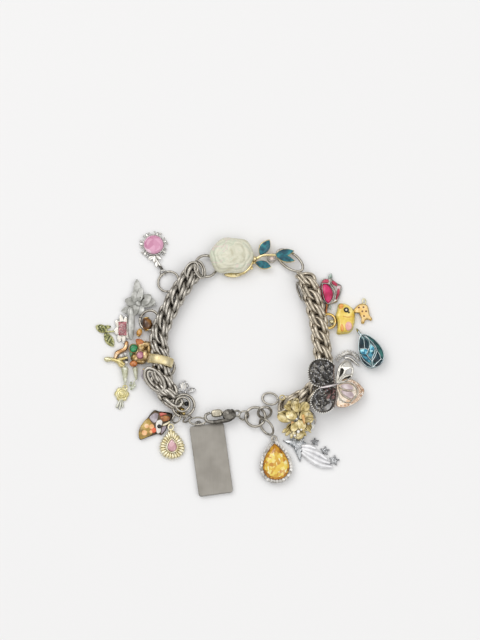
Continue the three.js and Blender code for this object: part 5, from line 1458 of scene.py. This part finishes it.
rose_wing = flowing([(-0.2, -1.7), (1.9, 0.5), (4.7, 1.6), (8.3, 0.8), (11.1, -1.3), (12.4, -3.4),
                     (11.1, -6.6), (8.3, -9.0), (4.7, -10.8), (1.0, -11.2), (-0.4, -9.9), (0.3, -6.4)], 72,
                    True)
dark_plates = [pierced([upper_dark, *pinhole[:2]], 0.2, 1.2), pierced([lower_dark, window, pinhole[2]], 0.2,
                                                                      1.2)]
piece("butterfly_dark_wings", dark_plates, "butterfly", black_silver, BUTTERFLY_AT)
dark_set, glint_set, red_set = [], [], []
# Some spots take a lighter stone: painted glints among the dark marcasite.
for outline, first in ((upper_dark, 0), (lower_dark, 1)):
    middle = outline.mean(0)
    field = (outline - middle) * 0.86 + middle
    for k, (x, y, z, across) in enumerate(spread(field, 0.78, 1.2, 0.76)):
        near = min(np.hypot(*(np.array((x, y)) - hole.mean(0))) for hole in pinhole)
        if inside(window, x, y) or near < 0.75:
            continue
        reddish = first and x > middle[0] + 0.5 and y > middle[1]
        chosen = red_set if reddish and k % 3 else glint_set if (k * 11 + first) % 4 == 0 else dark_set
        chosen.append((x, y, z, across))
set_stones("butterfly_marcasite", dark_set, stone_shape, marcasite, 21, tilt=0.35,
           at=BUTTERFLY_AT)
set_stones("butterfly_light_stones", glint_set, stone_shape, pewter_stone, 22, tilt=0.35,
           at=BUTTERFLY_AT)
set_stones("butterfly_garnets", red_set, stone_shape, garnet, 23, tilt=0.35, at=BUTTERFLY_AT)
edge_grains = [(x, y, 1.0, 0.66) for line in (upper_dark, lower_dark) for x, y in flowing(line, 40, True)]
set_stones("butterfly_edge_grains", edge_grains, grain_shape, edge_silver, 24, tilt=0,
           at=BUTTERFLY_AT)
veins = [branch([(*a, 1.3), (*b, 1.5), (*c, 1.3)], [0.5, 0.42, 0.3], 8) for a, b,
         c in (((-2.7, -1.2), (-6.8, 2.1), (-10.4, 6.3)), ((-2.7, -1.2), (-4.9, 4.0), (-6.8, 8.3)),
               ((-2.7, -1.2), (-7.7, -0.2), (-11.8, 0.9)), ((-2.7, -3.4), (-6.8, -6.8), (-10.9, -9.2)),
               ((-2.7, -3.4), (-5.4, -7.6), (-7.2, -12.6)), ((-2.2, -3.4), (-3.1, -6.6), (-3.6, -8.8)))]
spindle = branch([(-8.5, -3.6, 1.9), (-6.3, -3.0, 2.1), (-3.1, -2.2, 2.2), (0.3, -1.1, 1.9)],
                 [0.5, 1.3, 1.1, 0.5], 14)
piece("butterfly_veins", veins, None, black_silver, BUTTERFLY_AT)
wing_silver = finish("wing_silver", "bdb8ae ece9e2", "3c362e", 400, 0.8, 1.1, 0.12, 0.3, metallic=1)
curls = [branch([(*a, 1.2), (*b, 1.5), (*c, 1.3)], [0.5, 0.7, 0.45], 8) for a, b,
         c in (((0.1, -0.6), (2.4, 2.6), (6.7, 3.5)), ((0.1, -0.6), (3.1, 0.2), (6.3, 2.0)),
               ((0.1, -0.2), (1.5, 7.0), (4.2, 9.1)))]
open_plate = pierced([openwork, *open_holes], 0.2, 1.3, 0.25)
piece("butterfly_openwork", [open_plate, *curls], None, wing_silver, BUTTERFLY_AT)
# Dark sheets low in two of the openwork holes: painted shade in the gaps.
gap_shade_sheets = [cell(hole, 0.3, 0.7) for hole in open_holes[::2]]
piece("butterfly_gap_floors", gap_shade_sheets, None, black_silver, BUTTERFLY_AT)
spindle_silver = finish("spindle_silver", "c9bfc0 e8e2e2", "7a6e6e", 400, 0.8, 0.7, 0.12, 0.26, metallic=0.8)
piece("butterfly_body", [spindle], None, spindle_silver, BUTTERFLY_AT)
pink_cells = [cell(line, 0.9, 1.5) for line in (
    [(1.5, -1.6), (4.2, -0.8), (6.7, -1.6), (7.1, -3.1), (4.7, -3.4), (2.4, -2.8)],
    [(1.7, -3.8), (4.2, -4.2), (6.7, -4.3), (7.5, -5.9), (6.5, -7.3), (4.2, -6.5), (2.4, -5.3)])]
cell_walls = [tube(raised(flowing(line, 40), 1.45), 0.45, 8) for line in ([(0.1, -1.5), (3.3, -0.3),
                                                                           (6.9, -0.7), (9.0, -3.0),
                                                                           (8.5, -6.3), (6.0, -8.7)],
                                                                          [(0.5, -2.1), (2.4, -3.4),
                                                                           (4.7, -3.9), (7.2, -3.7)],
                                                                          [(0.5, -2.8), (2.1, -5.7),
                                                                           (4.4, -7.1), (6.7, -7.8),
                                                                           (8.3, -5.9)],
                                                                          [(0.3, -4.6), (0.8, -7.2),
                                                                           (2.4, -8.5), (4.7, -9.2),
                                                                           (6.5, -8.6)])]
piece("butterfly_rose_wing", [pierced([rose_wing], 0.15, 1.15, 0.25)], None, copper_gold,
      BUTTERFLY_AT)
piece("butterfly_cell_walls", cell_walls, None, grain_silver, BUTTERFLY_AT)
piece("butterfly_enamel", pink_cells, None, wing_pink, BUTTERFLY_AT)
border = flowing([(4.2, 0.8), (7.9, 0.0), (10.5, -1.8), (11.7, -3.5), (10.4, -6.2), (7.9, -8.3),
                  (4.7, -10.1), (1.5, -10.6)], 30)
second = flowing([(6.5, -0.2), (9.5, -2.3), (10.4, -3.8), (9.2, -5.8), (6.9, -8.0)], 16)
rose_spots = [(x, y, 1.22, 0.9) for x, y in flowing(border, 26)] + [(x, y, 1.22, 0.8) for x, y in second]
blush_gold = glassy("blush_gold_stone", "b08462 d4b498 ecd8c4 faf0e6", "7c5238", 1100)
set_stones("butterfly_border_stones", rose_spots, stone_shape, blush_gold, 25, tilt=0.25,
           at=BUTTERFLY_AT)
seam = [(x, y, 1.3, 0.6) for x, y in flowing([(-1.5, 6.8), (-1.7, 2.8), (-1.4, -1.4)], 15)]
seam += [(x, y, 1.3, 0.6) for x, y in flowing([(-0.8, -2.9), (-0.7, -7.3), (-1.5, -11.3)], 15)]
seam_silver = finish("seam_silver", "8f7f78 b8a89e", "4c403a", 500, 0.12, 0.6, 0.18, 0.36, metallic=1)
set_stones("butterfly_seam_grains", seam, grain_shape, seam_silver, 26, tilt=0, at=BUTTERFLY_AT)
clear_set = [(3.1, 7.4, 1.4, 1.3), (1.2, -7.9, 1.2, 1.1), (2.8, -8.9, 1.2, 0.9)]
set_stones("butterfly_clear_stones", clear_set, stone_shape, clear_stone, 27, at=BUTTERFLY_AT)


# ---- paved crescent ----
# A curved silver sprig paved with clear stones, with a smooth silver bar along its inner side.
crescent_line = flowing([(42.6, 1.1), (44.1, 3.1), (46.3, 4.4), (48.5, 4.3), (50.4, 2.9), (51.7, 1.1)], 40)
crescent = [branch([(x, y, 0.95) for x, y in crescent_line[::6]], [0.9, 1.7, 1.6, 0.9])]
crescent.append(branch([(45.7, 2.2, 1.0), (48.0, 2.0, 1.2), (51.7, -0.9, 1.0)], [0.9, 1.6, 0.8]))
crescent_spots = [(x, y, 1.7, 1.05) for x, y in flowing(crescent_line, 13)]
teeth = []
for i in range(1, 39, 3):
    ahead = crescent_line[i + 1] - crescent_line[i - 1]
    out = np.array((-ahead[1], ahead[0])) / np.hypot(*ahead)
    x, y = crescent_line[i]
    teeth.append(tube([(x, y, 1.0), (x + 1.35 * out[0], y + 1.35 * out[1], 0.9)], [0.5, 0.42], 8))
crescent_spots += [(x + 0.1, y + 0.62, 1.4, 0.62) for x, y in flowing(crescent_line, 15)[1:-1]]
piece("crescent_bars", crescent + teeth, "pave_crescent", bright_silver)
set_stones("crescent_stones", crescent_spots, stone_shape, clear_stone, 31, tilt=0.4)


# ---- teal teardrop ----
# A thick pear-shaped drop with cells of dark teal and blue enamel between fine silver wires, hung
# from a slim silver pin at its point. Two blue cells are painted bright as highlights.
drop_edge = [(52.4, 11.7), (54.1, 12.3), (56.7, 11.4), (59.3, 9.3), (61.5, 6.6), (62.8, 3.3), (62.3, 0.4),
             (60.4, -1.6), (57.6, -2.6), (54.8, -1.8), (52.7, 0.6), (51.7, 4.2), (51.6, 8.2)]
drop_metal = finish("drop_metal", "3c5a5e 6a888a", "10282c", 420, 0.6, 0.9, 0.16, 0.34, metallic=0.8)
drop_paint = {
    "deep": finish("drop_deep_teal", "03101a 08202c 143844", "020a10", 330, 0.5, 0.7, 0.04, 0.14, coat=0.15,
                   shine=0.25),
    "green": finish("drop_green_teal", "0f3438 205454 3c7a74", "061c1e", 330, 0.5, 0.7, 0.04, 0.14,
                    coat=0.15, shine=0.25),
    "mid": glassy("drop_mid_teal", "0c3444 165468 2a86a0 54aec4", "082634", 900, 0.2),
    # The bright blue cells: blue enamel painted light as highlights.
    "bright": glassy("drop_highlight_blue", "14607e 2c90b2 62c4dc b4ecf4", "103c50", 900, 0.2),
}
drop_cells = [
    ("deep", [(52.2, 9.7), (53.1, 10.4), (53.7, 8.4), (53.8, 6.2), (52.4, 6.0)]),
    ("deep", [(54.4, 10.3), (55.4, 9.1), (56.0, 7.3), (55.7, 5.8), (54.6, 6.0)]),
    ("green", [(55.0, 11.2), (57.2, 10.4), (59.8, 8.1), (61.7, 5.3), (62.4, 2.2), (61.7, 1.6), (60.9, 3.3),
               (59.8, 5.5), (58.0, 8.0), (56.3, 9.5)]),
    ("bright", [(52.4, 5.4), (54.1, 5.7), (55.6, 5.2), (55.0, 3.5), (53.3, 3.3), (52.5, 4.2)]),
    ("bright", [(56.7, 7.7), (57.8, 6.9), (58.4, 5.5), (57.6, 4.4), (56.5, 4.6)]),
    ("mid", [(56.5, 4.2), (58.0, 4.2), (58.0, 2.9), (57.2, 1.3), (55.9, 2.6), (55.9, 3.8)]),
    ("mid", [(53.0, 2.7), (55.0, 2.9), (56.7, 1.3), (57.0, 0.2), (56.1, -0.2), (54.3, 1.0)]),
    ("deep", [(59.7, 4.2), (60.7, 2.4), (60.9, 1.1), (59.1, -0.2), (58.0, -0.5), (58.7, 2.0)]),
    ("deep", [(52.7, 2.6), (54.3, 0.3), (57.1, -2.0), (55.2, -1.8), (53.2, 0.4)]),
    ("deep", [(61.5, 0.8), (62.1, 0.6), (60.8, -1.3), (58.8, -2.2), (59.6, -0.7)]),
]
drop_wires = [
    [(53.0, 11.4), (54.0, 9.3), (54.3, 6.2), (55.2, 5.6)],
    [(53.9, 11.5), (56.0, 9.7), (56.5, 7.1), (55.7, 4.8), (55.3, 3.1), (57.1, 0.6)],
    [(54.6, 11.5), (57.4, 8.7), (59.0, 6.6), (59.7, 4.8), (60.8, 3.1), (61.3, 1.3), (62.4, 0.9)],
    [(56.5, 8.1), (58.5, 6.4), (58.7, 4.4), (57.8, 2.2), (57.3, 0.1)],
    [(59.6, 4.6), (58.7, 2.2), (57.5, -0.0), (57.9, -2.2)],
    [(52.4, 3.2), (53.8, 0.9), (55.9, -0.9), (57.9, -2.4)], [(61.3, 1.1), (59.5, -0.6), (58.0, -2.2)],
    [(52.2, 5.6), (54.1, 5.9), (55.8, 5.4)],
]
wire_silver = finish("cell_wire", "b4c4c8 dce6e8", "5a6a6e", 400, 0.4, 0.6, 0.12, 0.26, metallic=1)
drop_line = flowing(drop_edge, 84, True)
drop_middle = drop_line.mean(0)
piece("teardrop_body", [cushion(drop_line, 2.0, 4.35, 7, 0.16)], "teardrop", drop_metal)
piece("teardrop_enamel", [(cell(line, 3.9, 4.72, 40, 0.2), drop_paint[name]) for name, line in drop_cells],
      None, None)
rim_line = (drop_line - drop_middle) * 0.97 + drop_middle
wires = [tube(raised(flowing(line, 30), 4.6), 0.36, 8) for line in drop_wires]
wires.append(tube(raised(rim_line, 4.15), 0.45, 8, closed=True))
pin = branch([(51.0, 15.0, 1.5), (51.8, 13.5, 2.3), (52.8, 11.8, 3.3), (53.5, 10.7, 3.9)],
             [0.8, 1.5, 1.3, 0.8])
piece("teardrop_wires", wires + [pin], None, wire_silver)


# ---- spotted giraffe charm ----
# A small flat giraffe of yellow enamel over gold, its neck bent forward, with brown spots, stub legs and a
# clear loop on its back.
giraffe_edge = [
    (49.6, 23.4), (50.5, 24.8), (52.2, 26.2), (54.1, 26.4), (55.7, 25.5), (56.3, 23.5), (56.7, 21.3),
    (57.7, 19.7), (57.2, 18.8), (55.7, 19.3), (54.6, 18.8), (54.0, 17.5), (52.9, 17.7), (53.0, 19.4),
    (52.2, 21.5), (51.6, 23.3), (50.7, 23.0), (49.9, 22.3),
]
giraffe_gold = finish("giraffe_gold", "c49a44 dfc078", "7a5214", 420, 0.6, 0.8, 0.14, 0.3, metallic=0.9)
giraffe_yellow = finish("giraffe_yellow", "ecc270 f5d492 fae6b8", "c89844", 300, 0.5, 0.6, 0.06, 0.2,
                        coat=0.4)
brown_spot = finish("brown_spot", "5c2e10 84481c", "2c1406", 400, 0.5, 0.6, 0.06, 0.18, coat=1)
line = flowing(giraffe_edge, 90, True)
raised_part = cushion(line, 1.0, 2.35, 7, 0.3, (0.86, 0.88))
piece("giraffe_plate", [cushion(line, 0.15, 1.7, 6, 0.14)], "giraffe", giraffe_gold)
piece("giraffe_enamel", [raised_part], None, giraffe_yellow)
spots = [(51.9, 24.4), (53.9, 24.5), (53.4, 22.7), (55.0, 22.7), (54.1, 20.6)]
piece("giraffe_spots", [ball(x, y, 2.2, 0.46, (1, 1, 0.7)) for x, y in spots], None, brown_spot)
piece("giraffe_loop", [loop(54.2, 27.3, 1.3, 0.7, 1.15, 0.55, 5), ball(53.5, 18.1, 1.0, 0.6)], None,
      pale_tip)


# ---- yellow frog charm ----
# A plump frog-like animal of yellow enamel over gold, with one round black and white eye, a mouth line, a
# pink belly and orange patches.
frog_edge = [
    (43.0, 26.1), (44.6, 26.5), (46.7, 26.1), (48.7, 24.7), (50.0, 22.9), (50.3, 20.4), (50.1, 17.8),
    (49.3, 15.3), (47.9, 13.4), (45.0, 12.8), (42.3, 12.9), (42.5, 16.0), (42.3, 18.7), (41.6, 20.9),
    (42.2, 23.1),
]
frog_yellow = finish("frog_yellow", "dcb840 eccf60 f6e490", "b8942c", 260, 0.5, 0.5, 0.06, 0.2, coat=0.4)
frog_gold = finish("frog_gold", "cdb85c e4d68c", "94803c", 420, 0.5, 0.7, 0.14, 0.3, metallic=0.6)
belly_pink = finish("belly_pink", "dc9a94 eab2aa f2c8c0", "a8645e", 300, 0.6, 0.5, 0.06, 0.18, coat=1)
patch_orange = finish("patch_orange", "d07c20 e2963c ecb060", "945810", 300, 0.6, 0.6, 0.06, 0.18, coat=0.4)
eye_white = finish("eye_white", "e6dcc8 f6f0e2", "8c8270", 300, 0.4, 0.4, 0.05, 0.14, coat=1)
line = flowing(frog_edge, 80, True)
piece("frog_edge", [cushion(line, 0.15, 2.2, 6, 0.16)], "frog", frog_gold)
body = cushion(line, 1.2, 3.9, 12, 0.42, 0.93)
belly = dome(47.3, 16.0, 3.1, 4.2, 2.9, 4.15, 6, 0.4, 36)
patches = [dome(44.2, 24.6, 1.9, 2.7, 2.7, 4.0, 6, 0.4, 30, -25), dome(44.5, 15.4, 1.7, 3.8, 2.7, 4.0, 6,
                                                                       0.4, 30, 6)]
eye = [
    (loop(46.4, 23.0, 4.0, 0.85, 0.85, 0.62), black_stone),
    (ball(46.4, 23.0, 4.05, 0.5, (1, 1, 0.6)), eye_white),
    (ball(47.5, 21.9, 3.95, 0.42, (1, 1, 0.6)), black_stone),
]
mouth = tube([(x, y, 3.93) for x, y in flowing([(45.0, 20.2), (47.0, 19.8), (49.0, 20.1)], 16)], 0.26, 8)
piece("frog_body", [body], None, frog_yellow)
piece("frog_face", eye + [(mouth, patch_orange), (belly, belly_pink)] + [(patch, patch_orange)
                                                                         for patch in patches], None,
      None)
cream_bits = [ball(40.0, 18.3, 1.3, 1.0, (1.2, 0.9, 0.8)), ball(39.9, 16.0, 1.1, 0.9, (1, 1, 0.8)),
              ball(41.3, 17.3, 1.2, 0.7)]
piece("frog_ring_beads", cream_bits, None, pale_tip)


# ---- tulip ----
# A silver tulip with magenta enamel: a bright middle petal in front of darker red ones, silver outlines, a
# small grey-green leaf at its tip and a copper stem.
tulip_edge = [
    (35.4, 35.5), (36.5, 37.4), (38.5, 37.5), (39.6, 38.1), (40.9, 36.8), (42.6, 35.5), (44.5, 34.2),
    (44.0, 30.6), (42.6, 27.3), (40.2, 26.1), (38.3, 25.7), (36.5, 27.3), (35.4, 30.6), (35.0, 33.3),
]
tulip_silver = finish("tulip_silver", "86807a c6c0b8", "35302b", 420, 0.6, 0.9, 0.16, 0.34, metallic=0.95)
magenta = finish("magenta_enamel", "980a3c c41c5c de3a7c", "5c0a2a", 260, 0.6, 0.9, 0.05, 0.16, coat=0.3,
                 shine=0.3)
crimson = finish("crimson_enamel", "7c1028 a42240 c44262", "4a0c1c", 300, 0.6, 0.9, 0.05, 0.16, coat=0.3,
                 shine=0.3)
pale_rose = finish("pale_rose_enamel", "c49ca4 dcbcc2", "74505a", 300, 0.7, 0.8, 0.06, 0.2, coat=1)
copper = finish("copper_stem", "8a5230 b87c50", "42240f", 420, 0.7, 0.9, 0.14, 0.32, metallic=0.9)
tulip_cells = [
    (magenta, [(36.3, 34.7), (38.3, 34.6), (40.1, 32.5), (40.7, 29.8), (39.7, 27.2), (38.3, 26.3),
               (36.9, 28.1), (36.0, 31.8)], 2.9),
    (crimson, [(35.4, 34.4), (36.0, 34.1), (36.0, 31.5), (36.8, 27.9), (36.0, 28.6), (35.4, 31.9)], 2.3),
    (crimson, [(36.6, 36.6), (38.0, 37.0), (39.0, 36.3), (38.5, 35.3), (36.7, 35.4), (35.9, 35.5)], 2.3),
    (crimson, [(40.1, 36.1), (41.2, 36.2), (42.6, 34.6), (42.0, 33.9), (40.4, 34.9)], 2.3),
    (crimson, [(42.5, 32.2), (43.6, 32.5), (43.3, 30.1), (42.1, 27.7), (41.8, 29.7)], 2.3),
    (pale_rose, [(42.6, 34.0), (44.0, 33.9), (43.7, 32.9), (42.3, 32.7)], 2.3),
]
tulip_wires = [
    [(36.0, 34.9), (38.5, 34.8), (40.5, 32.7), (41.2, 29.6), (40.0, 26.5)],
    [(36.1, 35.2), (36.0, 31.8), (37.0, 27.6), (38.4, 25.9)],
    [(39.3, 35.9), (40.9, 33.6), (42.0, 31.3), (41.5, 28.2), (39.8, 26.0)],
]
back = cushion(flowing(tulip_edge, 84, True), 0.15, 2.0, 6, 0.16)
outlines = [tube(raised(flowing(row, 26), 2.6), 0.42, 8) for row in tulip_wires]
piece("tulip_back", [back, *outlines], "tulip", tulip_silver)
piece("tulip_enamel", [(cell(row, 1.6, high, 36, 0.3), paint) for paint, row, high in tulip_cells], None,
      None)
piece("tulip_stem", [branch([(38.0, 26.1, 1.5), (37.8, 24.1, 1.4), (37.5, 21.7, 1.3)], [1.0, 1.2, 0.8])],
      None, copper)
sage = finish("sage_leaf", "5a6c60 8a9a90 b0bab2", "2c3830", 380, 0.6, 0.8, 0.12, 0.3, metallic=0.5)
piece("tulip_leaves", [turned(leaf(3.4, 1.7, 0.9, low=0.8), 39.1, 36.5, 75),
                       turned(leaf(2.6, 1.2, 0.7, low=0.8), 39.1, 26.1, -80),
                       turned(leaf(2.4, 1.1, 0.7, low=0.8), 37.2, 26.3, 118)], None, sage)


# ---- the shapes that were only copied are thrown away ----
for shape in (link_shape, stone_shape, grain_shape):
    bpy.data.objects.remove(shape)
